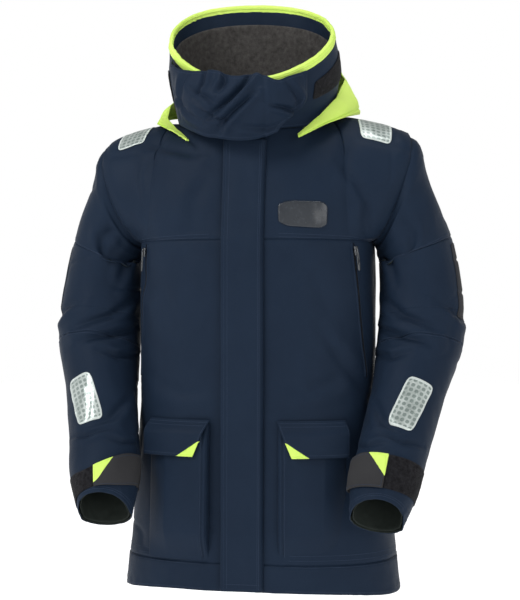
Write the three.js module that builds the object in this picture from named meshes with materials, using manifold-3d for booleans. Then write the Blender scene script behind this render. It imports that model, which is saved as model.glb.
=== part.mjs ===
// Foul weather jacket: an offshore sailing jacket hanging by its neck loop.
// Millimetres, +Z up, the front of the jacket faces -Y and the wearer's left side is +X.
// The shapes are laid out around the body's upright axis, and the whole jacket is then moved so
// that the origin is on the underside of the hang loop.
import * as THREE from 'three';
import ManifoldModule from 'manifold-3d';

const wasm = await ManifoldModule();
wasm.setup();

// ---------------------------------------------------------------- driving dimensions
const CLOTH = 2.5;             // laminated shell fabric with its lining
const SEAM = 0.8;              // gap between two panels that meet edge to edge
const SQUARENESS = 2.6;        // exponent of the body's rounded-square section

const YOKE_Z = -240;           // chest seam between yoke and body panels
const WAIST_Z = -525;          // below this the body flares
const HEM_SEAM_Z = -794;       // seam of the deep hem band
const HEM_Z = -840;
const CHEST_HALF_WIDTH = 210.5;
const HEM_HALF_WIDTH = 246;
const BODY_HALF_DEPTH = 142;
const HEM_HALF_DEPTH = 146;

const NECK = { x: -4, y: -14, halfWidth: 136, halfDepth: 98, z: -26, tilt: 24 };
const RIM = { x: -4, y: -46, halfWidth: 145, halfDepth: 124, z: 122, tilt: 89, roll: -8, dip: 7.5 };
const COLLAR_ARC = [-84, 262]; // the collar's front edges meet behind the storm flap
const COLLAR_BULGE = 8;
const RIM_WIDTH = 13;          // band along the collar's upper edge
const FACING_WIDTH = 38;       // from the upper edge down to the lining inside the collar

const ARMHOLE_GAP = 5;

// Sleeve stations from armhole to cuff: outer and inner edge of the section, and its full depth.
const SLEEVE = [
  { outer: [270, 5, -58], inner: [215, 0, -242], depth: 150 },
  { outer: [304, 8, -135], inner: [216, 6, -264], depth: 154 },
  { outer: [343, 12, -232], inner: [218, 12, -276], depth: 152 },
  { outer: [364, 2, -335], inner: [221, 8, -352], depth: 150 },
  { outer: [366, -18, -425], inner: [218, -16, -430], depth: 148 },
  { outer: [339, -58, -512], inner: [211, -60, -506], depth: 136 },
  { outer: [318, -108, -592], inner: [193, -110, -582], depth: 122 },
  { outer: [302, -150, -655], inner: [182, -154, -642], depth: 110 },
  { outer: [274, -184, -718], inner: [186, -188, -704], depth: 96 },
];
const CAP_END = 2;             // station of the seam that carries the chest seam round the sleeve
const ELBOW = 4;               // station where the forearm bends

// Pieces on the sleeve: arc in degrees, 0 outward and 90 forward, and stations.
const ELBOW_PANEL = { arc: [-45, 22.5], stations: [2.1, 3.55] };
const FOREARM_REFLECTOR = { arc: [45, 90], stations: [4.95, 6] };
const CUFF_LINING_START = 6.2;
const CUFF_LOOP = { arc: [202.5, -22.5], stations: [6.61, 7.34] };
const CUFF_TAB = { arc: [180, 90], stations: [6.55, 7.4], lift: 3.4, cornerArc: 30, cornerShare: 0.62 };

const FLAP_HALF_WIDTH = 36;    // storm flap over the front zip
const FLAP_TOP_Z = -78;
const FLAP_LIFT = 9;
const ZIP_HALF_GAP = 9;
const ZIP_Z = [-84, HEM_Z + 8];
const SLIDER_Z = [-86, -98];

const CHEST_ZIP = { angle: [-34, -21], z: [-250, -478], halfWidth: 7 };
const HAND_POCKET = { angle: [-62, -24], z: [-262, -470], lift: -8.5 };
const POCKET = { x: [60, 165], z: [-556, -790], rise: [16, 24] };
const POCKET_FLAP = { z: [-549, -611], lift: 19, slant: 25 };
const FLAP_CORNER = 27;

// Patches on the front yoke: u from the front edge to the armhole, v from the chest seam upwards.
const BADGE = { u: [0.12, 0.4], v: [0.13, 0.36] };
const SHOULDER_REFLECTOR = { u: [0.72, 0.9], v: [0.82, 0.985] };

const GUARD = {                // face guard across the front of the collar
  arc: [-150, -38],
  bottom: { halfWidth: 134, y: -22, halfDepth: 134, z: -16, drop: 51 },
  lift: 9, bulge: 20,
};
const HOOD_WING = 138;         // degrees from the back of the neck to the hood's front corners
const HOOD_HINGE = { y: 163, z: -8 };
const HOOD_CROWN = { arc: [-82, 82], fall: [0, 0.86] };
const HOOD_BRIM = { arc: [-78, 78], fall: [0.89, 1] };
const LOOP = { width: 60, height: 16, strap: 4, y: 72 };

// ---------------------------------------------------------------- colours and finishes
const finish = (color, roughness, metalness = 0) => ({ color, roughness, metalness });
const NAVY = finish(0x26344a, 0.62);
const YELLOW = finish(0xc8f05a, 0.6);
const CHARCOAL = finish(0x3a3a3c, 0.8);
const FLEECE = finish(0x303032, 0.95);
const BLACK_LOOP = finish(0x151518, 0.95);
const ZIP_BLACK = finish(0x18181a, 0.4);
const REFLECTIVE = finish(0xbfc9c6, 0.25, 0.4);
const GLOSS_BLACK = finish(0x20242a, 0.15);
const LINING = finish(0x2a2e2b, 0.7);

// ---------------------------------------------------------------- small helpers
const rad = THREE.MathUtils.degToRad;
const lerp = THREE.MathUtils.lerp;
const vec = (x, y, z) => new THREE.Vector3(x, y, z);
const signedPower = (value, power) => Math.sign(value) * Math.abs(value) ** power;

// Straight-line interpolation through [position, value] pairs in rising order of position.
function between(pairs, at) {
  const next = pairs.findIndex(([position]) => position > at);
  if (next === 0) return pairs[0][1];
  if (next < 0) return pairs[pairs.length - 1][1];
  const [p0, v0] = pairs[next - 1];
  const [p1, v1] = pairs[next];
  return lerp(v0, v1, (at - p0) / (p1 - p0));
}

// ---------------------------------------------------------------- bending boxes onto surfaces
// A surface is a function (u, v) => point, with core(point) giving a point on its inner side.
function surface(point, core) {
  return Object.assign(point, { core });
}

function normalAt(shape, u, v) {
  const step = 1e-3;
  const along = (a, b) => shape(...b).sub(shape(...a));
  const du = along([Math.max(u - step, 0), v], [Math.min(u + step, 1), v]);
  const dv = along([u, Math.max(v - step, 0)], [u, Math.min(v + step, 1)]);
  const normal = du.cross(dv).normalize();
  const point = shape(u, v);
  const outward = point.clone().sub(shape.core(point));
  return normal.dot(outward) < 0 ? normal.negate() : normal;
}

// Turns the faces outward when a bend has turned the solid inside out.
function facesOut(geometry) {
  const p = geometry.attributes.position;
  const index = geometry.index.array;
  const a = vec();
  const b = vec();
  const c = vec();
  let volume = 0;
  for (let i = 0; i < index.length; i += 3) {
    a.fromBufferAttribute(p, index[i]);
    b.fromBufferAttribute(p, index[i + 1]);
    c.fromBufferAttribute(p, index[i + 2]);
    volume += a.dot(b.cross(c));
  }
  if (volume < 0) {
    for (let i = 0; i < index.length; i += 3) {
      [index[i], index[i + 1]] = [index[i + 1], index[i]];
    }
  }
  return geometry;
}

function bend(geometry, place) {
  const p = geometry.attributes.position;
  for (let i = 0; i < p.count; i += 1) {
    const point = place(p.getX(i), p.getY(i), p.getZ(i));
    p.setXYZ(i, point.x, point.y, point.z);
  }
  return facesOut(geometry);
}

// A sheet of cloth on a surface, from lift to lift + thick above it. Either may vary with u, v.
function sheet(shape, nu, nv, thick = CLOTH, lift = -thick) {
  const liftAt = typeof lift === 'function' ? lift : () => lift;
  return bend(new THREE.BoxGeometry(1, 1, 1, nu, nv, 1), (x, y, z) => {
    const u = x + 0.5;
    const v = y + 0.5;
    const height = liftAt(u, v) + (z + 0.5) * thick;
    return shape(u, v).addScaledVector(normalAt(shape, u, v), height);
  });
}

// A hollow tube of cloth round a closed surface: u runs round it and v along it.
function tube(shape, around, along, thick = CLOTH, lift = -thick) {
  const profile = [];
  for (let k = 0; k <= along; k += 1) profile.push(new THREE.Vector2(2, k / along));
  for (let k = along; k >= 0; k -= 1) profile.push(new THREE.Vector2(1, k / along));
  profile.push(profile[0].clone());
  return bend(new THREE.LatheGeometry(profile, around), (x, y, z) => {
    const u = (Math.atan2(x, z) / (2 * Math.PI) + 1) % 1;
    const height = lift + (Math.hypot(x, z) > 1.5 ? thick : 0);
    return shape(u, y).addScaledVector(normalAt(shape, u, y), height);
  });
}

// The part of a surface inside given ranges of u and v.
function patch(shape, [u0, u1], [v0, v1]) {
  return surface((u, v) => shape(lerp(u0, u1, u), lerp(v0, v1, v)), shape.core);
}

function mirrored(shape, side) {
  const flip = (point) => vec(side * point.x, point.y, point.z);
  return surface((u, v) => flip(shape(u, v)), (point) => flip(shape.core(flip(point))));
}

// ---------------------------------------------------------------- cutting
function toManifold(geometry) {
  const clean = new Map();
  const p = geometry.attributes.position;
  const remap = [];
  const vertices = [];
  for (let i = 0; i < p.count; i += 1) {
    const key = [p.getX(i), p.getY(i), p.getZ(i)].map((value) => value.toFixed(3)).join();
    if (!clean.has(key)) {
      clean.set(key, clean.size);
      vertices.push(p.getX(i), p.getY(i), p.getZ(i));
    }
    remap.push(clean.get(key));
  }
  const triangles = Array.from(geometry.index.array, (corner) => remap[corner]);
  return new wasm.Manifold(new wasm.Mesh({
    numProp: 3,
    vertProperties: new Float32Array(vertices),
    triVerts: new Uint32Array(triangles),
  }));
}

function cut(geometry, tool) {
  const { vertProperties, triVerts } = toManifold(geometry).subtract(toManifold(tool)).getMesh();
  const result = new THREE.BufferGeometry();
  result.setAttribute('position', new THREE.BufferAttribute(vertProperties, 3));
  result.setIndex(new THREE.BufferAttribute(triVerts, 1));
  return result;
}

// ---------------------------------------------------------------- the body's surfaces
const bodyCore = (point) => vec(0, 0, point.z);

function body(angle, z) {
  const flare = Math.max(0, (WAIST_Z - z) / (WAIST_Z - HEM_Z)) ** 1.15;
  const halfWidth = lerp(CHEST_HALF_WIDTH, HEM_HALF_WIDTH, flare);
  const halfDepth = lerp(BODY_HALF_DEPTH, HEM_HALF_DEPTH, flare);
  const power = 2 / SQUARENESS;
  return vec(
    halfWidth * signedPower(Math.cos(rad(angle)), power),
    halfDepth * signedPower(Math.sin(rad(angle)), power),
    z,
  );
}

// Body angle of a point of the front with the given distance x from the centre line.
function frontAngle(x, z) {
  const halfWidth = body(0, z).x;
  return THREE.MathUtils.radToDeg(-Math.acos(signedPower(x / halfWidth, SQUARENESS / 2)));
}

// The chest leans back from the yoke seam up to the neck.
function frontLean(z) {
  const rise = Math.max(0, (z - YOKE_Z) / (NECK.z - NECK.tilt - YOKE_Z));
  const neckFront = NECK.y - NECK.halfDepth;
  return rise * (neckFront + BODY_HALF_DEPTH);
}

function bodyPatch(angles, zs) {
  return surface((u, v) => body(lerp(...angles, u), lerp(...zs, v)), bodyCore);
}

// A piece of the front between two distances from the centre line.
function frontPatch(xAt, zAt) {
  return surface((u, v) => {
    const z = zAt(u, v);
    const point = body(frontAngle(xAt(u, v), z), z);
    point.y += frontLean(z);
    return point;
  }, bodyCore);
}

function frontBox([x0, x1], [z0, z1]) {
  return frontPatch((u) => lerp(x0, x1, u), (u, v) => lerp(z0, z1, v));
}

// ---------------------------------------------------------------- sleeves
const curveOf = (points) => new THREE.CatmullRomCurve3(points.map((p) => vec(...p)));
const outerEdge = curveOf(SLEEVE.map((station) => station.outer));
const innerEdge = curveOf(SLEEVE.map((station) => station.inner));
const lastStation = SLEEVE.length - 1;

function sleeveSection(station) {
  const t = THREE.MathUtils.clamp(station / lastStation, 0, 1);
  const outer = outerEdge.getPoint(t);
  const inner = innerEdge.getPoint(t);
  const centre = outer.clone().add(inner).multiplyScalar(0.5);
  const across = outer.sub(inner).multiplyScalar(0.5);
  const run = outerEdge.getTangent(t).add(innerEdge.getTangent(t)).normalize();
  const halfDepth = between(SLEEVE.map((s, i) => [i, s.depth / 2]), t * lastStation);
  const forward = across.clone().cross(run).normalize().multiplyScalar(halfDepth);
  if (forward.y > 0) forward.negate();
  return { centre, across, forward, run };
}

// degrees: 0 is outward, 90 forward, 180 towards the body, 270 back.
function sleevePoint(degrees, station) {
  const { centre, across, forward } = sleeveSection(station);
  return centre
    .addScaledVector(across, Math.cos(rad(degrees)))
    .addScaledVector(forward, Math.sin(rad(degrees)));
}

function sleeveCore(point) {
  let best = null;
  for (let station = 0; station <= lastStation; station += 0.25) {
    const { centre } = sleeveSection(station);
    if (!best || centre.distanceTo(point) < best.distanceTo(point)) best = centre;
  }
  return best;
}

function sleevePatch([a0, a1], [s0, s1]) {
  return surface((u, v) => sleevePoint(lerp(a0, a1, u), lerp(s0, s1, v)), sleeveCore);
}

// ---------------------------------------------------------------- yoke
// The armhole's edge on the body, from the armpit (0) over the front or back to the top (1).
function armhole(v, front) {
  const edge = sleevePoint(180 - (front ? 180 : -180) * v, 0);
  return edge.add(vec(-ARMHOLE_GAP, 0, 0));
}

function neckRing(degrees) {
  return vec(
    NECK.x + NECK.halfWidth * Math.cos(rad(degrees)),
    NECK.y + NECK.halfDepth * Math.sin(rad(degrees)),
    NECK.z + NECK.tilt * Math.sin(rad(degrees)),
  );
}

// The neck edge of the yoke and then the shoulder line, from a start angle at the neck (0) to
// the shoulder tip (1).
function topEdge(start, t, side) {
  const neckShare = 0.6;
  if (t <= neckShare) {
    const end = side > 0 ? 0 : Math.sign(start) * 180;
    return neckRing(lerp(start, end, t / neckShare));
  }
  const from = neckRing(side > 0 ? 0 : 180);
  const to = armhole(1, true);
  const along = (t - neckShare) / (1 - neckShare);
  const point = from.lerp(vec(side * to.x, to.y, to.z), along);
  point.z += 5 * Math.sin(Math.PI * along);
  return point;
}

// A patch stretched between its four edges. The shape of the left and right edges fades towards
// the middle, faster with a higher fade.
function coons(bottom, top, left, right, fade) {
  return (u, v) => {
    const leftSwell = left(v).sub(bottom(0).lerp(top(0), v));
    const rightSwell = right(v).sub(bottom(1).lerp(top(1), v));
    return bottom(u).lerp(top(u), v)
      .addScaledVector(leftSwell, (1 - u) ** fade)
      .addScaledVector(rightSwell, u ** fade);
  };
}

const yokeCore = () => vec(0, 0, YOKE_Z - 40);

function frontYoke(side) {
  const startX = side * (ZIP_HALF_GAP + 1);
  const startAngle = frontAngle(startX, YOKE_Z);
  const neckStart = THREE.MathUtils.radToDeg(-Math.acos((startX - NECK.x) / NECK.halfWidth));
  const endAngle = side > 0 ? 0 : -180;
  const bottom = (u) => body(lerp(startAngle, endAngle, u), YOKE_Z);
  const top = (u) => topEdge(neckStart, u, side);
  const inner = (v) => bottom(0).lerp(top(0), v);
  const outer = (v) => {
    const edge = armhole(v, true);
    return vec(side * edge.x, edge.y, edge.z);
  };
  return surface(coons(bottom, top, inner, outer, 1), yokeCore);
}

function backYoke() {
  const bottom = (u) => body(lerp(180, 0, u), YOKE_Z);
  const top = (u) => (u < 0.5 ? topEdge(90, 1 - 2 * u, -1) : topEdge(90, 2 * u - 1, 1));
  const left = (v) => {
    const edge = armhole(v, false);
    return vec(-edge.x, edge.y, edge.z);
  };
  const right = (v) => armhole(v, false);
  return surface(coons(bottom, top, left, right, 2.4), yokeCore);
}

// ---------------------------------------------------------------- collar, face guard and hood
const collarAxis = (point) => {
  const t = (point.z - NECK.z) / (RIM.z - NECK.z);
  return vec(lerp(NECK.x, RIM.x, t), lerp(NECK.y, RIM.y, t), point.z);
};

function rimRing(degrees) {
  return vec(
    RIM.x + RIM.halfWidth * Math.cos(rad(degrees)),
    RIM.y + RIM.halfDepth * Math.sin(rad(degrees)),
    RIM.z + RIM.tilt * Math.sin(rad(degrees)) + RIM.roll * Math.cos(rad(degrees))
      + RIM.dip * Math.cos(2 * rad(degrees)),
  );
}

// Height is 0 at the neck seam and 1 at the collar's upper edge.
function collarPoint(degrees, height) {
  const point = neckRing(degrees).lerp(rimRing(degrees), height);
  const bulge = COLLAR_BULGE * Math.sin(Math.PI * THREE.MathUtils.clamp(height, 0, 1));
  return point.add(vec(Math.cos(rad(degrees)), Math.sin(rad(degrees)), 0).multiplyScalar(bulge));
}

function collarPatch([a0, a1], [v0, v1]) {
  return surface((u, v) => collarPoint(lerp(a0, a1, u), lerp(v0, v1, v)), collarAxis);
}

// Height on the collar of a line at the given distance below its upper edge.
function heightBelowRim(distance, degrees) {
  return 1 - distance / neckRing(degrees).distanceTo(rimRing(degrees));
}

// All round the collar, between a height or a line below the rim and a line nearer the rim.
function collarBand(lowAt, below) {
  return surface((u, v) => {
    const degrees = lerp(...COLLAR_ARC, u);
    return collarPoint(degrees, lerp(lowAt(degrees), heightBelowRim(below, degrees), v));
  }, collarAxis);
}

function guardPatch([a0, a1], [v0, v1]) {
  const { bottom } = GUARD;
  return surface((u, v) => {
    const degrees = lerp(a0, a1, u);
    const height = lerp(v0, v1, v);
    const low = vec(
      RIM.x + bottom.halfWidth * Math.cos(rad(degrees)),
      bottom.y + bottom.halfDepth * Math.sin(rad(degrees)),
      bottom.z - bottom.drop * Math.sin(rad(degrees)) ** 2,
    );
    const reach = vec(Math.cos(rad(degrees)), Math.sin(rad(degrees)), 0);
    const high = rimRing(degrees).addScaledVector(reach, 2);
    const share = (degrees - GUARD.arc[0]) / (GUARD.arc[1] - GUARD.arc[0]);
    const bulge = GUARD.bulge * Math.sin(Math.PI * height)
      * Math.sin(Math.PI * THREE.MathUtils.clamp(share, 0, 1));
    return low.lerp(high, height).addScaledVector(reach, bulge);
  }, collarAxis);
}

// The hood's lower and opening edges: [degrees from the back of the neck, size] of each
// coordinate, from the middle of the back to a front corner.
const hoodLow = {
  x: [[0, 0], [30, 92], [60, 156], [90, 186], [112, 172], [126, 140], [HOOD_WING, 97]],
  y: [[0, 166], [60, 112], [90, 30], [112, -44], [HOOD_WING, -129]],
  z: [[0, 2], [60, 4], [90, -8], [112, -22], [126, -40], [HOOD_WING, -67]],
};
const hoodOpen = {
  x: [[0, 0], [30, 84], [60, 143], [90, 161], [108, 153], [122, 128], [HOOD_WING, 95]],
  y: [[0, 134], [60, 92], [90, 6], [112, -56], [HOOD_WING, -125]],
  z: [[0, 96], [60, 86], [90, 50], [108, 12], [122, -22], [HOOD_WING, -60]],
};

function hoodEdge(edge, degreesFromBack) {
  const off = Math.abs(degreesFromBack);
  const x = NECK.x + Math.sign(degreesFromBack) * between(edge.x, off);
  return vec(x, between(edge.y, off), between(edge.z, off));
}

function cowl() {
  return surface((u, v) => {
    const degrees = lerp(-HOOD_WING, HOOD_WING, u);
    const point = hoodEdge(hoodLow, degrees).lerp(hoodEdge(hoodOpen, degrees), v);
    const belly = 10 * Math.sin(Math.PI * v) * Math.cos(rad(degrees / 2));
    return point.add(vec(Math.sin(rad(degrees)), Math.cos(rad(degrees)), 0).multiplyScalar(belly));
  }, (point) => vec(0, -20, point.z - 60));
}

// The hood's crown hangs down the back as a pouch, from its hinge line to its brim.
function crownPatch([a0, a1], [v0, v1]) {
  return surface((u, v) => {
    const degrees = lerp(a0, a1, u);
    const fall = lerp(v0, v1, v);
    const reach = 1 - 0.25 * fall * fall;
    return vec(
      160 * reach * Math.sin(rad(degrees)),
      HOOD_HINGE.y - 52 * (1 - Math.cos(rad(degrees))) + 30 * Math.sin(Math.PI * 0.8 * fall),
      HOOD_HINGE.z - 14 - 168 * fall * (0.75 + 0.25 * Math.cos(rad(degrees))),
    );
  }, (point) => vec(0, 0, point.z));
}

// ---------------------------------------------------------------- building the jacket
const jacket = new THREE.Group();
jacket.position.set(0, -LOOP.y, 0);

function add(name, geometry, look) {
  const mesh = new THREE.Mesh(geometry, new THREE.MeshStandardMaterial(look));
  mesh.name = name;
  jacket.add(mesh);
}

// The wearer's left side is +X.
const SIDES = [['left', 1], ['right', -1]];

function buildPanels() {
  const panelZ = [YOKE_Z - SEAM, HEM_SEAM_Z];
  const centreAngle = frontAngle(ZIP_HALF_GAP + 1, YOKE_Z);
  for (const [label, side] of SIDES) {
    const angles = side > 0 ? [centreAngle, -0.5] : [-180 - centreAngle, -179.5];
    add(`front_panel_${label}`, sheet(bodyPatch(angles, panelZ), 8, 6), NAVY);
    add(`front_yoke_${label}`, sheet(patch(frontYoke(side), [0, 1], [0.02, 0.985]), 10, 6), NAVY);
  }
  add('back_panel', sheet(bodyPatch([179.5, 0.5], panelZ), 12, 6), NAVY);
  add('back_yoke', sheet(patch(backYoke(), [0, 1], [0.035, 0.985]), 16, 5), NAVY);
  const hem = bodyPatch([centreAngle, 180 - centreAngle], [HEM_SEAM_Z - SEAM, HEM_Z]);
  add('hem_band', sheet(hem, 24, 1), NAVY);
}

function buildFrontZip() {
  for (const [label, side] of SIDES) {
    const tape = frontBox([side * 3.4, side * ZIP_HALF_GAP], ZIP_Z);
    add(`front_zip_tape_${label}`, sheet(tape, 1, 9, 1, -1.6), ZIP_BLACK);
  }
  add('front_zip_teeth', sheet(frontBox([-3, 3], ZIP_Z), 1, 9, 2.6, -2.4), ZIP_BLACK);
  const guard = frontBox([-26, 26], [ZIP_Z[0], ZIP_Z[1] + 4]);
  add('inner_storm_guard', sheet(guard, 2, 9, 1.6, -6), NAVY);
  add('front_zip_slider', sheet(frontBox([-5.5, 5.5], SLIDER_Z), 1, 1, 3.4, 0.6), ZIP_BLACK);
  const pull = frontBox([-3.5, 3.5], [SLIDER_Z[1] + 6, SLIDER_Z[1] - 28]);
  add('front_zip_pull', sheet(pull, 1, 2, 1.8, 4.4), ZIP_BLACK);
  const flap = frontBox([-FLAP_HALF_WIDTH, FLAP_HALF_WIDTH], [FLAP_TOP_Z, HEM_Z + 1]);
  add('storm_flap', sheet(flap, 2, 12, 3, FLAP_LIFT), NAVY);
}

// The chest zip's line on the body, with its width running round the body.
function chestZipPatch(side, halfWidth, [v0, v1]) {
  return surface((u, v) => {
    const t = lerp(v0, v1, v);
    const turn = THREE.MathUtils.radToDeg((u - 0.5) * 2 * halfWidth / CHEST_HALF_WIDTH);
    const point = body(lerp(...CHEST_ZIP.angle, t) + turn, lerp(...CHEST_ZIP.z, t));
    return vec(side * point.x, point.y, point.z);
  }, bodyCore);
}

function buildChestZips() {
  for (const [label, side] of SIDES) {
    const tape = chestZipPatch(side, CHEST_ZIP.halfWidth, [0, 1]);
    add(`chest_zip_${label}`, sheet(tape, 2, 8, 1.2, 0.3), ZIP_BLACK);
    const slider = chestZipPatch(side, 4.5, [0.02, 0.09]);
    add(`chest_zip_slider_${label}`, sheet(slider, 1, 1, 3, 3.4), ZIP_BLACK);
    const pull = chestZipPatch(side, 3.5, [0.05, 0.19]);
    add(`chest_zip_pull_${label}`, sheet(pull, 1, 2, 2, 6.8), ZIP_BLACK);
    const bag = mirrored(bodyPatch(HAND_POCKET.angle, HAND_POCKET.z), side);
    add(`hand_pocket_bag_${label}`, sheet(bag, 4, 4, 3, HAND_POCKET.lift), LINING);
  }
}

function buildCargoPockets() {
  for (const [label, side] of SIDES) {
    const xs = POCKET.x.map((x) => side * x);
    const rise = (u, v) => lerp(...POCKET.rise, v);
    const outside = frontBox(xs, POCKET.z);
    const pouch = bendPouch(outside, rise, 1);
    const insideX = [xs[0] + side * CLOTH, xs[1] - side * CLOTH];
    const inside = frontBox(insideX, [POCKET.z[0] + 8, POCKET.z[1] + CLOTH]);
    const hollow = bendPouch(inside, (u, v) => rise(u, v) - CLOTH, -3);
    add(`cargo_pocket_${label}`, cut(pouch, hollow), NAVY);
    buildPocketFlap(label, side);
  }
}

// A solid standing on a surface from the given foot up to a varying rise.
function bendPouch(shape, rise, foot) {
  return bend(new THREE.BoxGeometry(1, 1, 1, 5, 6, 1), (x, y, z) => {
    const u = x + 0.5;
    const v = y + 0.5;
    const height = z > 0 ? rise(u, v) : foot;
    return shape(u, v).addScaledVector(normalAt(shape, u, v), height);
  });
}

// The flap's inner edge slants, and its lower inner corner is a piece of its own.
function buildPocketFlap(label, side) {
  const [top, bottom] = POCKET_FLAP.z;
  const height = top - bottom;
  const slantAt = (v) => POCKET.x[0] - 2 + POCKET_FLAP.slant * v;
  const cornerShare = FLAP_CORNER / height;
  const cornerAt = (v) => FLAP_CORNER * Math.max(0, (v - 1 + cornerShare) / cornerShare);
  const flap = frontPatch(
    (u, v) => side * lerp(slantAt(v) + cornerAt(v), POCKET.x[1] + 2, u),
    (u, v) => lerp(top, bottom, v),
  );
  add(`pocket_flap_${label}`, sheet(flap, 6, 6, CLOTH, POCKET_FLAP.lift), NAVY);
  const cornerRow = (v) => lerp(1 - cornerShare * 0.85, 1, v);
  const corner = frontPatch(
    (u, v) => side * (slantAt(cornerRow(v)) + (cornerAt(cornerRow(v)) - 1) * u),
    (u, v) => lerp(top, bottom, cornerRow(v)),
  );
  add(`pocket_flap_corner_${label}`, sheet(corner, 2, 3, CLOTH, POCKET_FLAP.lift), YELLOW);
}

function buildCollar() {
  const shell = collarBand(() => 0.03, RIM_WIDTH + SEAM);
  add('collar_shell', sheet(shell, 20, 3), NAVY);
  const lining = collarBand(() => 0.06, FACING_WIDTH + SEAM);
  add('collar_lining', sheet(lining, 20, 2, CLOTH, -CLOTH - 4.8), FLEECE);
  const facing = collarBand((degrees) => heightBelowRim(FACING_WIDTH, degrees), RIM_WIDTH + SEAM);
  add('collar_facing', sheet(facing, 20, 1, 2, -CLOTH - 3.6), NAVY);
  const rim = collarBand((degrees) => heightBelowRim(RIM_WIDTH, degrees), 0);
  add('collar_rim', sheet(rim, 20, 1, 6.4, -6), YELLOW);
  const patchLoop = collarPatch([-28, 8], [0.42, 0.72]);
  add('collar_loop_patch', sheet(patchLoop, 4, 1, 1.4, 1.2), BLACK_LOOP);
  const guardLoop = collarPatch([-168, -158], [0.12, 0.62]);
  add('face_guard_loop', sheet(guardLoop, 1, 2, 1.4, 1.6), BLACK_LOOP);
  const guard = guardPatch(GUARD.arc, [0, 0.93]);
  add('face_guard', sheet(guard, 10, 5, CLOTH, GUARD.lift), NAVY);
}

function buildHood() {
  add('hood_cowl', sheet(cowl(), 22, 3), YELLOW);
  add('hood_crown', sheet(crownPatch(HOOD_CROWN.arc, HOOD_CROWN.fall), 10, 4), YELLOW);
  add('hood_brim', sheet(crownPatch(HOOD_BRIM.arc, HOOD_BRIM.fall), 10, 1, 3.5), NAVY);
}

function buildSleeve(label, side) {
  const on = ({ arc, stations }) => mirrored(sleevePatch(arc, stations), side);
  const round = (start, end) => on({ arc: [0, 360], stations: [start, end] });
  const gap = 0.085;
  add(`sleeve_cap_${label}`, tube(round(0, CAP_END - gap), 16, 3), NAVY);
  add(`upper_sleeve_${label}`, tube(round(CAP_END + gap, ELBOW - gap), 16, 3), NAVY);
  add(`forearm_${label}`, tube(round(ELBOW + gap, lastStation), 16, 6), NAVY);
  const lining = round(CUFF_LINING_START, lastStation);
  add(`cuff_lining_${label}`, tube(lining, 16, 2, 1.2, -5.6), LINING);
  add(`elbow_panel_${label}`, sheet(on(ELBOW_PANEL), 3, 4, 1, 1.2), CHARCOAL);
  add(`forearm_reflector_${label}`, sheet(on(FOREARM_REFLECTOR), 2, 3, 0.8, 1.2), REFLECTIVE);
  add(`cuff_loop_${label}`, sheet(on(CUFF_LOOP), 10, 1, 1, 1.4), BLACK_LOOP);
  buildCuffTab(label, side);
}

// The tab's free upper corner is a piece of its own, cut off along a slanted line.
function buildCuffTab(label, side) {
  const { arc: [root, tip], stations, lift, cornerArc, cornerShare } = CUFF_TAB;
  const slope = (row) => cornerArc * Math.max(0, 1 - row / cornerShare);
  const bent = (degreesAt, rowAt) => mirrored(surface((u, v) => {
    const row = rowAt(v);
    return sleevePoint(degreesAt(u, row), lerp(...stations, row));
  }, sleeveCore), side);
  const tab = bent((u, row) => lerp(root, tip + slope(row), u), (v) => v);
  add(`cuff_tab_${label}`, sheet(tab, 5, 4, CLOTH, lift), CHARCOAL);
  const corner = bent(
    (u, row) => lerp(tip + slope(row) - 1.2, tip, u),
    (v) => 0.85 * cornerShare * v,
  );
  add(`cuff_tab_corner_${label}`, sheet(corner, 2, 3, CLOTH, lift), YELLOW);
}

function buildTrim() {
  for (const [label, side] of SIDES) {
    const over = patch(frontYoke(side), SHOULDER_REFLECTOR.u, SHOULDER_REFLECTOR.v);
    add(`shoulder_reflector_${label}`, sheet(over, 3, 3, 0.8, 0.5), REFLECTIVE);
  }
  const badge = patch(frontYoke(1), BADGE.u, BADGE.v);
  add('chest_badge', sheet(badge, 4, 2, 0.8, 1.2), GLOSS_BLACK);
  buildHangLoop();
}

// An upturned U of tape whose bridging strap hangs on a hook at the origin.
function buildHangLoop() {
  const { width, height, strap, y } = LOOP;
  const outline = new THREE.Shape();
  outline.moveTo(-width / 2, strap);
  outline.lineTo(-width / 2, -height);
  outline.lineTo(-width / 2 + strap, -height);
  outline.lineTo(-width / 2 + strap, 0);
  outline.lineTo(width / 2 - strap, 0);
  outline.lineTo(width / 2 - strap, -height);
  outline.lineTo(width / 2, -height);
  outline.lineTo(width / 2, strap);
  const geometry = new THREE.ExtrudeGeometry(outline, { depth: strap, bevelEnabled: false });
  geometry.rotateX(Math.PI / 2);
  geometry.translate(0, y + strap / 2, 0);
  add('hang_loop', geometry, NAVY);
}

buildPanels();
buildFrontZip();
buildChestZips();
buildCargoPockets();
buildCollar();
buildHood();
for (const [label, side] of SIDES) buildSleeve(label, side);
buildTrim();

export default jacket;
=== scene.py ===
"""The looks of the foul weather jacket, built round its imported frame.

Surfaces are worked out in millimetres round the body's upright axis, +Z up and -Y to the front.
place() turns them into the row frame, in metres, whose origin is under the hang loop's strap.
"""
import math

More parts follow.
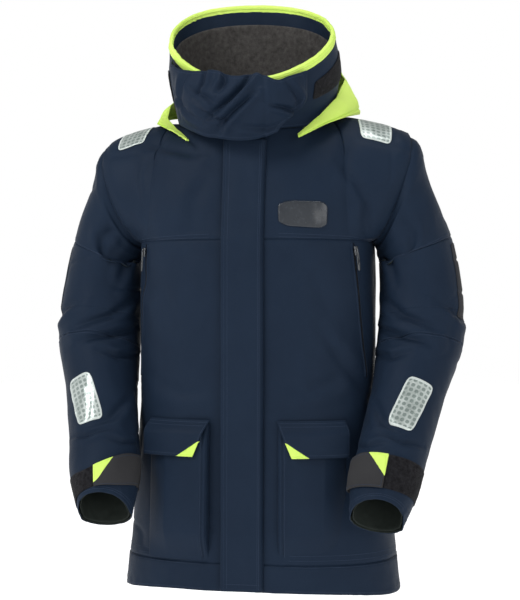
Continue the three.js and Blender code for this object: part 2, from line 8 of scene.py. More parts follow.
import bpy
import numpy as np
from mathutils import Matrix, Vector


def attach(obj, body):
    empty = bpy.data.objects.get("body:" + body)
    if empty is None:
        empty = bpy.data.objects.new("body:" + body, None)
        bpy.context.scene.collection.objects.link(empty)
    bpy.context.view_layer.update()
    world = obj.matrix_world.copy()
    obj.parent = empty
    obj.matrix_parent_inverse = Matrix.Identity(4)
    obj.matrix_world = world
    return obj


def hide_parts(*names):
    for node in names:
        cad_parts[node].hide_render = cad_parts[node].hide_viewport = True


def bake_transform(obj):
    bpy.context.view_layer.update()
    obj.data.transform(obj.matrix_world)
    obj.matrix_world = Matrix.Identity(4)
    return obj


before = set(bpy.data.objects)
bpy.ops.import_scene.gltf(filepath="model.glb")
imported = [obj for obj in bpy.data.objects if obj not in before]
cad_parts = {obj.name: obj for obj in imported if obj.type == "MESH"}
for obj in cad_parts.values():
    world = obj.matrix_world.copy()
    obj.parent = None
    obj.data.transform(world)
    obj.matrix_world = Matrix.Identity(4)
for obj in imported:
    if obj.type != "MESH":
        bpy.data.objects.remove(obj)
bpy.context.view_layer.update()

# ------------------------------------------------------------------ driving dimensions, in mm
ORIGIN = np.array([0.0, 72.0, 0.0])      # the hang loop, from the body's axis
CLOTH = 2.0
SQUARENESS = 2.6
YOKE_Z, WAIST_Z, HEM_SEAM_Z, HEM_Z = -240.0, -525.0, -794.0, -840.0
CHEST_HALF_WIDTH, HEM_HALF_WIDTH = 210.5, 246.0
BODY_HALF_DEPTH, HEM_HALF_DEPTH = 142.0, 146.0
HEM_FLARE_POWER = 1.15
YOKE_LEAN, YOKE_LEAN_TOP = 30, -50       # the front leans back by this much, up to this height
PANEL_START_X = 10.0                     # the front edges of the panels and yokes
NECK_SHARE, SHOULDER_ARCH = 0.6, 5       # the neck's share of a yoke's top edge
BACK_YOKE_FADE = 2.4
NECK = dict(x=-4, y=-14, half_width=136, half_depth=98, z=-26, tilt=24, roll=0, dip=0)
RIM = dict(x=-4, y=-46, half_width=145, half_depth=124, z=122, tilt=89, roll=-8, dip=7.5)
GUARD_ARC = (-150, -38)
GUARD_LOW = dict(half_width=134, y=-22, half_depth=134, z=-16, drop=51)
COLLAR_BULGE, GUARD_BULGE, COWL_BELLY = 8, 20, 10
HOOD_WING = 138
CROWN = dict(half_width=160, back=163, wrap=52, belly=30, top=-22, length=168)
CROWN_ARC, BRIM_ARC, BRIM_FALL, CROWN_START = (-82.0, 82.0), (-79.0, 79.0), 0.875, -0.2
ARMHOLE_GAP = 5
SLEEVE_OUTER = [[270, 5, -58], [304, 8, -135], [343, 12, -232], [364, 2, -335], [366, -18, -425],
                [339, -58, -512], [318, -108, -592], [302, -150, -655], [274, -184, -718]]
SLEEVE_INNER = [[215, 0, -242], [216, 6, -264], [218, 12, -276], [221, 8, -352], [218, -16, -430],
                [211, -60, -506], [193, -110, -582], [182, -154, -642], [186, -188, -704]]
SLEEVE_DEPTH = [150, 154, 152, 150, 148, 136, 122, 110, 96]
LAST = 8                                 # the sleeve's last station, at the cuff
SLEEVE_ARC = (-90, 270)
SIDES = (("left", 1), ("right", -1))


# ------------------------------------------------------------------ numbers and noise
def rad(degrees):
    return np.radians(degrees)


def lerp(a, b, t):
    return a + (b - a) * t


def signed_power(value, power):
    return np.sign(value) * np.abs(value) ** power


def smooth(edge0, edge1, x):
    t = np.clip((x - edge0) / (edge1 - edge0), 0, 1)
    return t * t * (3 - 2 * t)


def bell(x, width):
    return np.exp(-(x / width) ** 2)


def vec(x, y, z):
    x, y, z = np.broadcast_arrays(x, y, z)
    return np.stack([x, y, z], -1).astype(float)


def swell(points, size, seed):
    """Smooth noise from -1 to 1 in waves about size mm long (one size, or one for each axis)."""
    p = points / np.asarray(size, float) + seed * 17.31
    cell = np.floor(p).astype(np.int64)
    f = p - cell
    f = f * f * f * (f * (f * 6 - 15) + 10)
    total = np.zeros(p.shape[:-1])
    for corner in range(8):
        step = np.array([corner & 1, corner >> 1 & 1, corner >> 2 & 1])
        key = cell + step
        value = seed * 2654435
        for axis, prime in enumerate((73856093, 19349663, 83492791)):
            value = value ^ key[..., axis] * prime
        value = (value ^ value >> 13) * 1274126177 & 0x7FFFFFFF
        value = (value ^ value >> 16) % 20011 / 10005.0 - 1
        total += value * np.prod(np.where(step == 1, f, 1 - f), axis=-1)
    return total


# ------------------------------------------------------------------ the jacket's surfaces
def flared(above, hem, z):
    return lerp(above, hem, np.clip((WAIST_Z - z) / (WAIST_Z - HEM_Z), 0, 2) ** HEM_FLARE_POWER)


def half_width(z):
    return flared(CHEST_HALF_WIDTH, HEM_HALF_WIDTH, z)


def half_depth(z):
    return flared(BODY_HALF_DEPTH, HEM_HALF_DEPTH, z)


def body(angle, z):
    power = 2 / SQUARENESS
    return vec(half_width(z) * signed_power(np.cos(rad(angle)), power),
               half_depth(z) * signed_power(np.sin(rad(angle)), power), z)


def front_angle(x, z):
    return -np.degrees(np.arccos(np.clip(signed_power(x / half_width(z), SQUARENESS / 2), -1, 1)))


def front(x, z):
    """A point of the jacket's front at x from the middle; it leans back above the yoke seam."""
    point = body(front_angle(x, z), z)
    point[..., 1] += YOKE_LEAN * np.clip((z - YOKE_Z) / (YOKE_LEAN_TOP - YOKE_Z), 0, None)
    return point


def catmull(points, t):
    """THREE's centripetal Catmull-Rom curve at t from 0 to 1."""
    p = np.array(points, float)
    p = np.vstack([2 * p[0] - p[1], p, 2 * p[-1] - p[-2]])
    at = t * (len(points) - 1)
    i = np.minimum(at.astype(int), len(points) - 2)
    w = (at - i)[:, None]
    a, b, c, d = p[i], p[i + 1], p[i + 2], p[i + 3]
    d0, d1, d2 = (np.linalg.norm(e, axis=1)[:, None] ** 0.5 for e in (b - a, c - b, d - c))
    t1 = ((b - a) / d0 - (c - a) / (d0 + d1) + (c - b) / d1) * d1
    t2 = ((c - b) / d1 - (d - b) / (d1 + d2) + (d - c) / d2) * d1
    return b + t1 * w + (-3 * b + 3 * c - 2 * t1 - t2) * w ** 2 + (2 * b - 2 * c + t1 + t2) * w ** 3


def sleeve_table():
    t = np.linspace(0, 1, 401)
    outer, inner = catmull(SLEEVE_OUTER, t), catmull(SLEEVE_INNER, t)
    centre, across = (outer + inner) / 2, (outer - inner) / 2
    unit = [np.gradient(e, axis=0) for e in (outer, inner)]
    run = sum(e / np.linalg.norm(e, axis=1)[:, None] for e in unit)
    forward = np.cross(across, run)
    forward *= -np.sign(forward[:, 1:2]) / np.linalg.norm(forward, axis=1)[:, None]
    forward *= np.interp(t * LAST, range(LAST + 1), SLEEVE_DEPTH)[:, None] / 2
    return t * LAST, centre, across, forward


SLEEVE_AT, SLEEVE_CENTRE, SLEEVE_ACROSS, SLEEVE_FORWARD = sleeve_table()


def sleeve(degrees, station):
    """Degrees round the left sleeve: 0 outward, 90 forward, 180 towards the body, 270 back."""
    def at(table):
        return np.stack([np.interp(station, SLEEVE_AT, table[:, k]) for k in range(3)], -1)
    degrees, station = np.broadcast_arrays(degrees, station)
    return (at(SLEEVE_CENTRE) + at(SLEEVE_ACROSS) * np.cos(rad(degrees))[..., None]
            + at(SLEEVE_FORWARD) * np.sin(rad(degrees))[..., None])


def flip(point, side):
    return point * np.array([side, 1, 1])


def armhole(v, is_front):
    edge = sleeve(180 - (180 if is_front else -180) * v, np.zeros_like(v))
    return edge - np.array([ARMHOLE_GAP, 0, 0])


def ring(spec, degrees):
    return vec(spec["x"] + spec["half_width"] * np.cos(rad(degrees)),
               spec["y"] + spec["half_depth"] * np.sin(rad(degrees)),
               spec["z"] + spec["tilt"] * np.sin(rad(degrees)) + spec["roll"] * np.cos(rad(degrees))
               + spec["dip"] * np.cos(2 * rad(degrees)))


def top_edge(start, t, side):
    """The yoke's neck edge, and after it the shoulder line out to the shoulder tip."""
    end = 0 if side > 0 else math.copysign(180, start)
    neck = ring(NECK, lerp(start, end, np.minimum(t / NECK_SHARE, 1)))
    along = np.clip((t - NECK_SHARE) / (1 - NECK_SHARE), 0, 1)[..., None]
    tip = flip(armhole(np.ones(1), True)[0], side)
    line = lerp(ring(NECK, end), tip, along)
    line[..., 2] += SHOULDER_ARCH * np.sin(np.pi * along[..., 0])
    return np.where((t <= NECK_SHARE)[..., None], neck, line)


def coons(bottom, top, left, right, u, v, fade):
    """A surface between four edges; the left and right ones' own swells fade across it."""
    u_, v_ = u[..., None], v[..., None]
    zero, one = np.zeros_like(u), np.ones_like(u)
    across = lerp(bottom(u), top(u), v_)
    left_swell = left(v) - lerp(bottom(zero), top(zero), v_)
    right_swell = right(v) - lerp(bottom(one), top(one), v_)
    return across + left_swell * (1 - u_) ** fade + right_swell * u_ ** fade


def front_yoke(u, v, side):
    start_x = side * PANEL_START_X
    start = float(front_angle(start_x, YOKE_Z))
    neck_start = -math.degrees(math.acos((start_x - NECK["x"]) / NECK["half_width"]))
    end = 0 if side > 0 else -180

    def bottom(t):
        return body(lerp(start, end, t), YOKE_Z)

    def top(t):
        return top_edge(neck_start, t, side)

    def inner(t):
        return lerp(bottom(np.zeros_like(t)), top(np.zeros_like(t)), t[..., None])

    def outer(t):
        return flip(armhole(t, True), side)
    return coons(bottom, top, inner, outer, u, v, 1)


def back_yoke(u, v):
    def bottom(t):
        return body(lerp(180, 0, t), YOKE_Z)

    def top(t):
        return np.where((t < 0.5)[..., None], top_edge(90, np.abs(1 - 2 * t), -1),
                        top_edge(90, np.abs(2 * t - 1), 1))

    def left(t):
        return flip(armhole(t, False), -1)

    def right(t):
        return armhole(t, False)
    return coons(bottom, top, left, right, u, v, BACK_YOKE_FADE)


def collar(degrees, v):
    point = lerp(ring(NECK, degrees), ring(RIM, degrees), v[..., None])
    bulge = COLLAR_BULGE * np.sin(np.pi * np.clip(v, 0, 1))
    return point + vec(np.cos(rad(degrees)) * bulge, np.sin(rad(degrees)) * bulge, 0)


def below_rim(distance, degrees):
    """Height on the collar of a line at the given distance in mm below its upper edge."""
    return 1 - distance / np.linalg.norm(ring(RIM, degrees) - ring(NECK, degrees), axis=-1)


def guard(degrees, v):
    """The face guard, which wraps over the front of the collar."""
    c, s = np.cos(rad(degrees)), np.sin(rad(degrees))
    low = vec(RIM["x"] + GUARD_LOW["half_width"] * c, GUARD_LOW["y"] + GUARD_LOW["half_depth"] * s,
              GUARD_LOW["z"] - GUARD_LOW["drop"] * s ** 2)
    high = ring(RIM, degrees) + vec(2 * c, 2 * s, 0)
    share = np.clip((degrees - GUARD_ARC[0]) / (GUARD_ARC[1] - GUARD_ARC[0]), 0, 1)
    bulge = GUARD_BULGE * np.sin(np.pi * v) * np.sin(np.pi * share)
    return lerp(low, high, v[..., None]) + vec(bulge * c, bulge * s, 0)


def hood_edge(low, degrees):
    """The cowl's low or high edge, by degrees from straight back to its ends in front."""
    off = np.abs(degrees)
    if low:
        x = np.interp(off, [0, 30, 60, 90, 112, 126, HOOD_WING], [0, 92, 156, 186, 172, 140, 97])
        y = np.interp(off, [0, 60, 90, 112, HOOD_WING], [166, 112, 30, -44, -129])
        z = np.interp(off, [0, 60, 90, 112, 126, HOOD_WING], [2, 4, -8, -22, -40, -67])
    else:
        x = np.interp(off, [0, 30, 60, 90, 108, 122, HOOD_WING], [0, 84, 143, 161, 153, 128, 95])
        y = np.interp(off, [0, 60, 90, 112, HOOD_WING], [134, 92, 6, -56, -125])
        z = np.interp(off, [0, 60, 90, 108, 122, HOOD_WING], [96, 86, 50, 12, -22, -60])
    return vec(NECK["x"] + np.sign(degrees) * x, y, z)


def cowl(degrees, v):
    point = lerp(hood_edge(True, degrees), hood_edge(False, degrees), v[..., None])
    belly = COWL_BELLY * np.sin(np.pi * v) * np.cos(rad(degrees / 2))
    return point + vec(np.sin(rad(degrees)) * belly, np.cos(rad(degrees)) * belly, 0)


def crown(degrees, fall):
    """The hood's crown hanging down the back, narrower and shorter at its sides as it falls."""
    reach = 1 - 0.25 * fall ** 2
    back = CROWN["back"] - CROWN["wrap"] * (1 - np.cos(rad(degrees)))
    return vec(CROWN["half_width"] * reach * np.sin(rad(degrees)),
               back + CROWN["belly"] * np.sin(np.pi * 0.8 * fall),
               CROWN["top"] - CROWN["length"] * fall * (0.75 + 0.25 * np.cos(rad(degrees))))


# ------------------------------------------------------------------ cloth and mesh making
def on_front(xs, zs, side=1):
    """A strip of the jacket's front between two distances from the centre line and two heights."""
    return lambda u, v: front(side * lerp(*xs, u), lerp(*zs, v))


class Cloth:
    """A sheet of cloth on a surface shape(u, v). folds(points, normals, u, v) is its rise in mm."""

    def __init__(self, shape, core, folds=None, lift=0.0):
        self.shape, self.core, self.folds, self.lift, self.sign = shape, core, folds, lift, 1.0
        u, v = np.meshgrid(np.linspace(0.1, 0.9, 7), np.linspace(0.1, 0.9, 7))
        points, normals = self.base(u, v)
        self.sign = 1.0 if np.sum((points - core(points)) * normals) > 0 else -1.0

    def base(self, u, v):
        step = 2e-3
        along = self.shape(np.minimum(u + step, 1), v) - self.shape(np.maximum(u - step, 0), v)
        up = self.shape(u, np.minimum(v + step, 1)) - self.shape(u, np.maximum(v - step, 0))
        normals = np.cross(along, up)
        normals /= np.linalg.norm(normals, axis=-1)[..., None] + 1e-9
        return self.shape(u, v), normals * self.sign

    def at(self, u, v, extra=0.0):
        u, v = np.broadcast_arrays(np.asarray(u, float), np.asarray(v, float))
        points, normals = self.base(u, v)
        rise = self.lift + extra
        if self.folds:
            rise = rise + self.folds(points, normals, u, v)
        return points + normals * np.asarray(rise)[..., None], normals


def grid_normals(points, wrap, reference):
    rows = np.gradient(points, axis=0)
    if wrap:
        cols = (np.roll(points[:, :-1], -1, 1) - np.roll(points[:, :-1], 1, 1))
        cols = np.concatenate([cols, cols[:, :1]], 1)
    else:
        cols = np.gradient(points, axis=1)
    normals = np.cross(cols, rows)
    normals /= np.linalg.norm(normals, axis=-1)[..., None] + 1e-9
    return normals * np.sign(np.sum(normals * reference))


def arc_lengths(points):
    """Mean distance along the columns and along the rows, in mm, for texture coordinates."""
    across = np.linalg.norm(np.diff(points, axis=1), axis=-1).mean(0)
    along = np.linalg.norm(np.diff(points, axis=0), axis=-1).mean(1)
    return np.concatenate([[0], np.cumsum(across)]), np.concatenate([[0], np.cumsum(along)])


def grid_faces(rows, cols, offset, wrap):
    i, j = np.meshgrid(np.arange(rows - 1), np.arange(cols - 1), indexing="ij")
    width = cols - 1 if wrap else cols
    k = (j + 1) % width if wrap else j + 1
    corners = [i * width + j, i * width + k, (i + 1) * width + k, (i + 1) * width + j]
    return np.stack(corners, -1).reshape(-1, 4) + offset


def grid_uv(rows, cols, x, y):
    i, j = np.meshgrid(np.arange(rows - 1), np.arange(cols - 1), indexing="ij")
    corners = [(i, j), (i, j + 1), (i + 1, j + 1), (i + 1, j)]
    return np.stack([np.stack([x[b], y[a]], -1) for a, b in corners], 2).reshape(-1, 4, 2)


def slab(points, reference, thick=CLOTH, wrap=False, looks=(0, 1), edge=0.35):
    """A closed sheet from a grid of outer points: outer and inner face, and rounded edges."""
    rows, cols = points.shape[:2]
    normals = grid_normals(points, wrap, reference)
    thickness = np.broadcast_to(np.asarray(thick, float), (rows, cols))[..., None]
    inner = points - normals * thickness
    x, y = arc_lengths(points)
    if wrap:
        points, inner, normals = points[:, :-1], inner[:, :-1], normals[:, :-1]
    width = points.shape[1]
    count = rows * width
    outer_faces = grid_faces(rows, cols, 0, wrap)
    inner_faces = grid_faces(rows, cols, count, wrap)[:, ::-1]
    uv = grid_uv(rows, cols, x, y)
    verts = [points.reshape(-1, 3), inner.reshape(-1, 3)]
    faces, uvs = [outer_faces, inner_faces], [uv, uv[:, ::-1]]
    marks = [np.full(len(outer_faces), looks[0]), np.full(len(inner_faces), looks[1])]
    index = np.arange(count).reshape(rows, width)
    if wrap:
        loops = [(index[0], points[0] - points[1], False),
                 (index[-1], points[-1] - points[-2], True)]
    else:
        border = np.concatenate([index[0, :], index[1:, -1], index[-1, -2::-1], index[-2:0:-1, 0]])
        away = np.zeros_like(points)
        away[0] += points[0] - points[1]
        away[-1] += points[-1] - points[-2]
        away[:, 0] += points[:, 0] - points[:, 1]
        away[:, -1] += points[:, -1] - points[:, -2]
        loops = [(border, away.reshape(-1, 3)[border], False)]
    start = 2 * count
    flat_uv = np.stack(np.meshgrid(x[:width], y), -1).reshape(-1, 2)
    for outside, away, turned in loops:
        away = away / (np.linalg.norm(away, axis=1)[:, None] + 1e-9)
        thick_here = thickness[:, :width].reshape(-1, 1)[outside]
        both = points.reshape(-1, 3)[outside] + inner.reshape(-1, 3)[outside]
        middle = both / 2 + away * thick_here * edge
        n = len(outside)
        mid = start + np.arange(n)
        mid_next = np.roll(mid, -1)
        nxt = np.roll(outside, -1)
        first = np.stack([outside, mid, mid_next, nxt], -1)
        second = np.stack([mid, outside + count, nxt + count, mid_next], -1)
        if turned:
            first, second = first[:, ::-1], second[:, ::-1]
        rim_uv = flat_uv[np.stack([outside, outside, nxt, nxt], -1)]
        verts.append(middle)
        faces += [first, second]
        uvs += [rim_uv, rim_uv]
        marks += [np.full(n, looks[0]), np.full(n, looks[0])]
        start += n
    return dict(v=np.concatenate(verts), f=np.concatenate(faces), uv=np.concatenate(uvs),
                m=np.concatenate(marks))


def facing_out(part):
    """Turns a closed part's faces outward if its volume comes out negative."""
    v, f = part["v"], part["f"]
    a, b, c, d = (v[f[:, k]] for k in range(4))
    volume = np.sum(a * np.cross(b, c)) + np.sum(a * np.cross(c, d))
    if volume < 0:
        part["f"] = f[:, ::-1]
        part["uv"] = part["uv"][:, ::-1]
    return part


def tube(path, normals, radius, look, sides=6, flat=1.0):
    """A closed tube of an even number of sides along a path. Its radius may vary along it, and flat
    squeezes it along the normals."""
    path, normals = np.asarray(path, float), np.asarray(normals, float)
    run = np.gradient(path, axis=0)
    run /= np.linalg.norm(run, axis=1)[:, None] + 1e-9
    side = np.cross(run, normals)
    side /= np.linalg.norm(side, axis=1)[:, None] + 1e-9
    up = np.cross(side, run)
    angle = np.linspace(0, 2 * np.pi, sides, endpoint=False)
    radius = np.broadcast_to(np.asarray(radius, float), (len(path),))[:, None, None]
    ringed = path[:, None] + radius * (side[:, None] * np.cos(angle)[None, :, None]
                                       + up[:, None] * np.sin(angle)[None, :, None] * flat)
    n = len(path)
    faces = grid_faces(n, sides + 1, 0, True)
    length = np.concatenate([[0], np.cumsum(np.linalg.norm(np.diff(path, axis=0), axis=1))])
    uv = grid_uv(n, sides + 1, np.linspace(0, 3, sides + 1), length)
    verts = np.concatenate([ringed.reshape(-1, 3), path[:1], path[-1:]])
    half = np.arange(0, sides, 2)
    caps = []
    for centre, base, turned in ((n * sides, 0, False), (n * sides + 1, (n - 1) * sides, True)):
        fan = np.stack([np.full(len(half), centre), base + (half + 2) % sides, base + half + 1,
                        base + half], -1)
        caps.append(fan[:, ::-1] if turned else fan)
    faces = np.concatenate([faces] + caps)
    uv = np.concatenate([uv] + [np.zeros((len(c), 4, 2)) for c in caps])
    return facing_out(dict(v=verts, f=faces, uv=uv, m=np.full(len(faces), look)))


def resample(points, step):
    """Points about step mm apart along a polyline, keeping its ends."""
    points = np.asarray(points, float)
    length = np.concatenate([[0], np.cumsum(np.linalg.norm(np.diff(points, axis=0), axis=1))])
    count = max(3, int(round(length[-1] / step)) + 1)
    at = np.linspace(0, length[-1], count)
    return np.stack([np.interp(at, length, points[:, k]) for k in range(points.shape[1])], -1), at


STITCH_PITCH, STITCH_RISE, STITCH_SINK, THREAD_RADIUS = 3.2, 0.25, 0.1, 0.38
STITCH_SAMPLE = 1.07


def stitches(cloth, uv_path, look):
    """A row of topstitching on the cloth, along a line through (u, v) points."""
    coarse, _ = resample(np.asarray(uv_path, float), 0.004)
    points, _ = cloth.at(coarse[:, 0], coarse[:, 1])
    length = np.concatenate([[0], np.cumsum(np.linalg.norm(np.diff(points, axis=0), axis=1))])
    count = max(8, int(length[-1] / STITCH_SAMPLE))
    at = np.linspace(0, length[-1], count)
    u, v = (np.interp(at, length, coarse[:, k]) for k in (0, 1))
    wave = STITCH_RISE * np.cos(2 * np.pi * at / STITCH_PITCH) - STITCH_SINK
    points, normals = cloth.at(u, v, wave)
    return tube(points, normals, THREAD_RADIUS, look, sides=4)


def place(points):
    return (points - ORIGIN) / 1000.0


def build(name, parts, materials):
    """One mesh object from parts, in the row frame."""
    starts = np.cumsum([0] + [len(p["v"]) for p in parts[:-1]])
    verts = place(np.concatenate([p["v"] for p in parts]))
    faces = np.concatenate([p["f"] + s for p, s in zip(parts, starts)])
    uv = np.concatenate([p["uv"] for p in parts]) / 1000.0
    marks = np.concatenate([p["m"] for p in parts])
    mesh = bpy.data.meshes.new(name)
    mesh.vertices.add(len(verts))
    mesh.vertices.foreach_set("co", verts.astype(np.float32).ravel())
    mesh.loops.add(faces.size)
    mesh.loops.foreach_set("vertex_index", faces.astype(np.int32).ravel())
    mesh.polygons.add(len(faces))
    mesh.polygons.foreach_set("loop_start", (np.arange(len(faces)) * 4).astype(np.int32))
    mesh.update(calc_edges=True)
    layer = mesh.uv_layers.new(name="cloth")
    layer.data.foreach_set("uv", uv.astype(np.float32).ravel())
    mesh.polygons.foreach_set("material_index", marks.astype(np.int32))
    mesh.polygons.foreach_set("use_smooth", np.ones(len(faces), bool))
    mesh.validate()
    for material in materials:
        mesh.materials.append(material)
    piece = bpy.data.objects.new(name, mesh)
    bpy.context.scene.collection.objects.link(piece)
    return piece


ONE_LOOK = (0, 0)       # outer and inner face alike


def sheet_part(cloth, nu, nv, thick=CLOTH, wrap=False, looks=(0, 1), edge=0.35, u_at=None,
               v_at=None):
    u = np.linspace(0, 1, nu + 1) if u_at is None else u_at
    v = np.linspace(0, 1, nv + 1) if v_at is None else v_at
    uu, vv = np.meshgrid(u, v)
    points, normals = cloth.at(uu, vv)
    if wrap:
        points[:, -1] = points[:, 0]
    return facing_out(slab(points, normals, thick, wrap, looks, edge))


# ------------------------------------------------------------------ folds
# Creases that hang in the cloth: (x, z) points in mm seen from the front, half width, depth, and
# the rise of the ridge on the side that the crease leans to (+ is to the right along its run).
FRONT_CREASES = [
    ([(-196, -66), (-140, -80), (-86, -92)], 11, 3.5, 2.5),
    ([(158, -108), (187, -140), (206, -176), (202, -226)], 10, 3.5, 2.5),
    ([(210, -168), (214, -222)], 6, 2.5, 0.0),
    ([(126, -386), (170, -455), (208, -512)], 13, 3.5, -2.5),
    ([(-205, -300), (-150, -330), (-110, -420)], 22, 3.0, 2.0),
    ([(80, -270), (120, -300), (150, -380)], 24, 2.5, 1.5),
    ([(-170, -480), (-110, -505), (-50, -500)], 16, 2.0, 1.2),
    ([(50, -480), (110, -500), (180, -470)], 16, 2.0, 1.2),
    ([(-60, -120), (-90, -180), (-100, -238)], 20, 2.0, 1.0),
    ([(37, -526), (55, -547)], 1.6, 1.1, 0.0),
    ([(-37, -526), (-55, -547)], 1.6, 1.1, 0.0),
]
BACK_CREASES = [
    ([(-150, -100), (-60, -150), (0, -160)], 16, 3.5, 2.0),
    ([(150, -105), (70, -150), (10, -165)], 16, 3.5, 2.0),
    ([(-190, -300), (-120, -340), (-40, -350)], 20, 4.0, 2.5),
    ([(190, -320), (110, -350), (50, -345)], 20, 4.0, 2.5),
    ([(-120, -520), (-20, -545), (90, -525)], 18, 4.0, 2.5),
    ([(-60, -600), (-70, -700), (-60, -790)], 24, 3.5, 2.0),
    ([(90, -590), (105, -700), (95, -790)], 24, 3.5, 2.0),
]


# What creases are scaled by: width, depth and lean.
BODY_CREASE_SCALE, SLEEVE_CREASE_SCALE = (0.75, 1.4, 1.4), (0.7, 1.5, 1.5)
HEM_SWELL, HEM_SWELL_Z, HEM_SIDE_DROP = 9.0, (-540, -800), 14
SEAM_WIDTH, SEAM_DEPTH = 2.2, 1.3


def crease_rise(x, z, path, *sizes, scale=(1, 1, 1)):
    """Depth of one crease at each (x, z), fading out over its ends."""
    width, depth, lean = (a * b for a, b in zip(scale, sizes))
    path = np.asarray(path, float)
    best, at, turn = np.full(x.shape, 1e9), np.zeros(x.shape), np.zeros(x.shape)
    lengths = np.linalg.norm(np.diff(path, axis=0), axis=1)
    total, done = lengths.sum(), 0.0
    for start, end, length in zip(path[:-1], path[1:], lengths):
        d = (end - start) / length
        along = np.clip((x - start[0]) * d[0] + (z - start[1]) * d[1], 0, length)
        off_x, off_z = x - start[0] - along * d[0], z - start[1] - along * d[1]
        off = np.hypot(off_x, off_z)
        closer = off < best
        best = np.where(closer, off, best)
        at = np.where(closer, (done + along) / total, at)
        turn = np.where(closer, np.sign(off_x * d[1] - off_z * d[0]), turn)
        done += length
    fade = np.sin(np.pi * np.clip(at, 0.04, 0.96)) ** 0.6
    ridge = lean * np.exp(-((best * turn * np.sign(lean or 1) - 1.7 * width) / (1.3 * width)) ** 2)
    return fade * (-depth * bell(best, width) + ridge * np.sign(lean or 1))


def crumple(points):
    """The cloth's own loose unevenness: long soft swells with finer ones on them."""
    sparse = smooth(-0.15, 0.5, swell(points, (150, 150, 170), 8))
    lines = -2.0 * bell(swell(points, (75, 75, 58), 7), 0.11) * sparse
    return (3.2 * swell(points, (110, 110, 190), 1) + 1.6 * swell(points, (48, 48, 85), 2)
            + 0.5 * swell(points, (17, 17, 26), 3) + lines)


def ripple(height, size, seed):
    """Folds that are only a light unevenness."""
    return lambda points, normals, u, v: height * swell(points, size, seed)


def pucker(points, distance, reach=14, height=0.55):
    """Small gathers beside a seam."""
    return height * bell(distance, reach) * swell(points, 9, 4)


SEAM_POINTS = {}


def armhole_distance(points, side):
    if side not in SEAM_POINTS:
        t = np.linspace(0, 1, 60)
        SEAM_POINTS[side] = flip(np.concatenate([armhole(t, True), armhole(t, False)]), side)
    curve = SEAM_POINTS[side]
    flat = points.reshape(-1, 3)
    nearest = np.full(len(flat), 1e9)
    for p in curve:
        nearest = np.minimum(nearest, np.sum((flat - p) ** 2, axis=1))
    return np.sqrt(nearest).reshape(points.shape[:-1])


def shell_folds(points, normals, u, v):
    x, z = points[..., 0], points[..., 2]
    facing = smooth(0.05, 0.6, -normals[..., 1])
    behind = smooth(0.05, 0.6, normals[..., 1])
    rise = crumple(points)
    for seen, creases in ((facing, FRONT_CREASES), (behind, BACK_CREASES)):
        for crease in creases:
            rise = rise + seen * crease_rise(x, z, *crease, scale=BODY_CREASE_SCALE)
    rise = rise + HEM_SWELL * normals[..., 0] * smooth(*HEM_SWELL_Z, z)
    under_flap = bell(x, 40) * facing
    rise = rise * (1 - 0.75 * under_flap)
    rise = (rise + pucker(points, z - YOKE_Z) + pucker(points, z - HEM_SEAM_Z)
            + pucker(points, z - HEM_Z, 10, 0.8))
    for seam_z in (YOKE_Z, HEM_SEAM_Z):
        rise = rise - SEAM_DEPTH * bell(z - seam_z, SEAM_WIDTH)
    rise = rise + 0.7 * smooth(0, 3, z - YOKE_Z) * smooth(13, 10, z - YOKE_Z)
    rise = rise + 0.8 * smooth(0, 3, HEM_SEAM_Z - z)
    return rise


# At the armhole seam, for the wearer's left side and right side.
YOKE_SINK, SLEEVE_SINK = {1: 2.2, -1: 1.4}, {1: 2.6, -1: 2.0}
PUFF_HEIGHTS, PUFF_WIDTH = (13.0, 6.0), 58           # the wearer's left and right
PUFF_START, PUFF_RUN = (140, -30), (126, -36)        # along the shoulder, in x and z


def shoulder_puff(points):
    """The shoulders stand fuller than the pattern's plain curve, the wearer's left one most."""
    amount = np.where(points[..., 0] > 0, *PUFF_HEIGHTS)
    out = np.abs(points[..., 0])
    along = np.clip((out - PUFF_START[0]) / PUFF_RUN[0], 0, 1)
    off_x = out - PUFF_START[0] - PUFF_RUN[0] * along
    off_z = points[..., 2] - PUFF_START[1] - PUFF_RUN[1] * along
    return amount * smooth(118, 165, out) * bell(np.hypot(off_x, off_z), PUFF_WIDTH)


def yoke_folds(side):
    """Folds of the front or back yoke, whose armhole edge sinks into the sleeve seam."""
    def folds(points, normals, u, v):
        rise = shell_folds(points, normals, u, v)
        for s in ((1, -1) if side == 0 else (side,)):
            near = armhole_distance(points, s)
            rise = rise - YOKE_SINK[s] * bell(near, 7) + 1.8 * bell(near - 24, 14)
        return rise * smooth(1.0, 0.93, v) - 0.8 * smooth(0.93, 1.0, v) + shoulder_puff(points)
    return folds


# Creases of a sleeve: (degrees, station) points, half width in mm, depth, lean.
SLEEVE_CREASES = [
    ([(150, 2.9), (110, 3.5), (60, 3.9)], 12, 6.0, 4.0),
    ([(160, 3.6), (115, 4.0), (70, 4.25)], 11, 6.5, -4.0),
    ([(170, 4.2), (125, 4.5), (95, 4.45)], 10, 5.0, -3.0),
    ([(60, 3.2), (20, 3.5), (-10, 3.4)], 14, 4.0, 3.0),
    ([(165, 1.2), (135, 1.9), (120, 2.7)], 13, 5.0, 3.0),
    ([(110, 0.5), (95, 1.2), (100, 2.0)], 15, 4.0, -3.0),
    ([(150, 5.3), (110, 5.9), (80, 6.1)], 12, 4.5, 3.0),
    ([(120, 6.1), (70, 6.35), (30, 6.2)], 9, 3.6, 2.5),
    ([(170, 6.2), (130, 6.45), (100, 6.4)], 8, 3.6, -2.0),
    ([(-30, 3.9), (-80, 4.2), (-120, 4.0)], 14, 4.5, 3.0),
    ([(-60, 4.6), (-110, 4.9), (-150, 4.7)], 13, 4.0, -3.0),
    ([(-40, 1.5), (-90, 2.2), (-130, 2.6)], 16, 4.0, 3.0),
    ([(-50, 5.8), (-100, 6.1), (-140, 5.9)], 11, 3.5, 2.0),
]
CREASE_TURN = {1: 0, -1: 7}                          # degrees, for the left and right sleeve
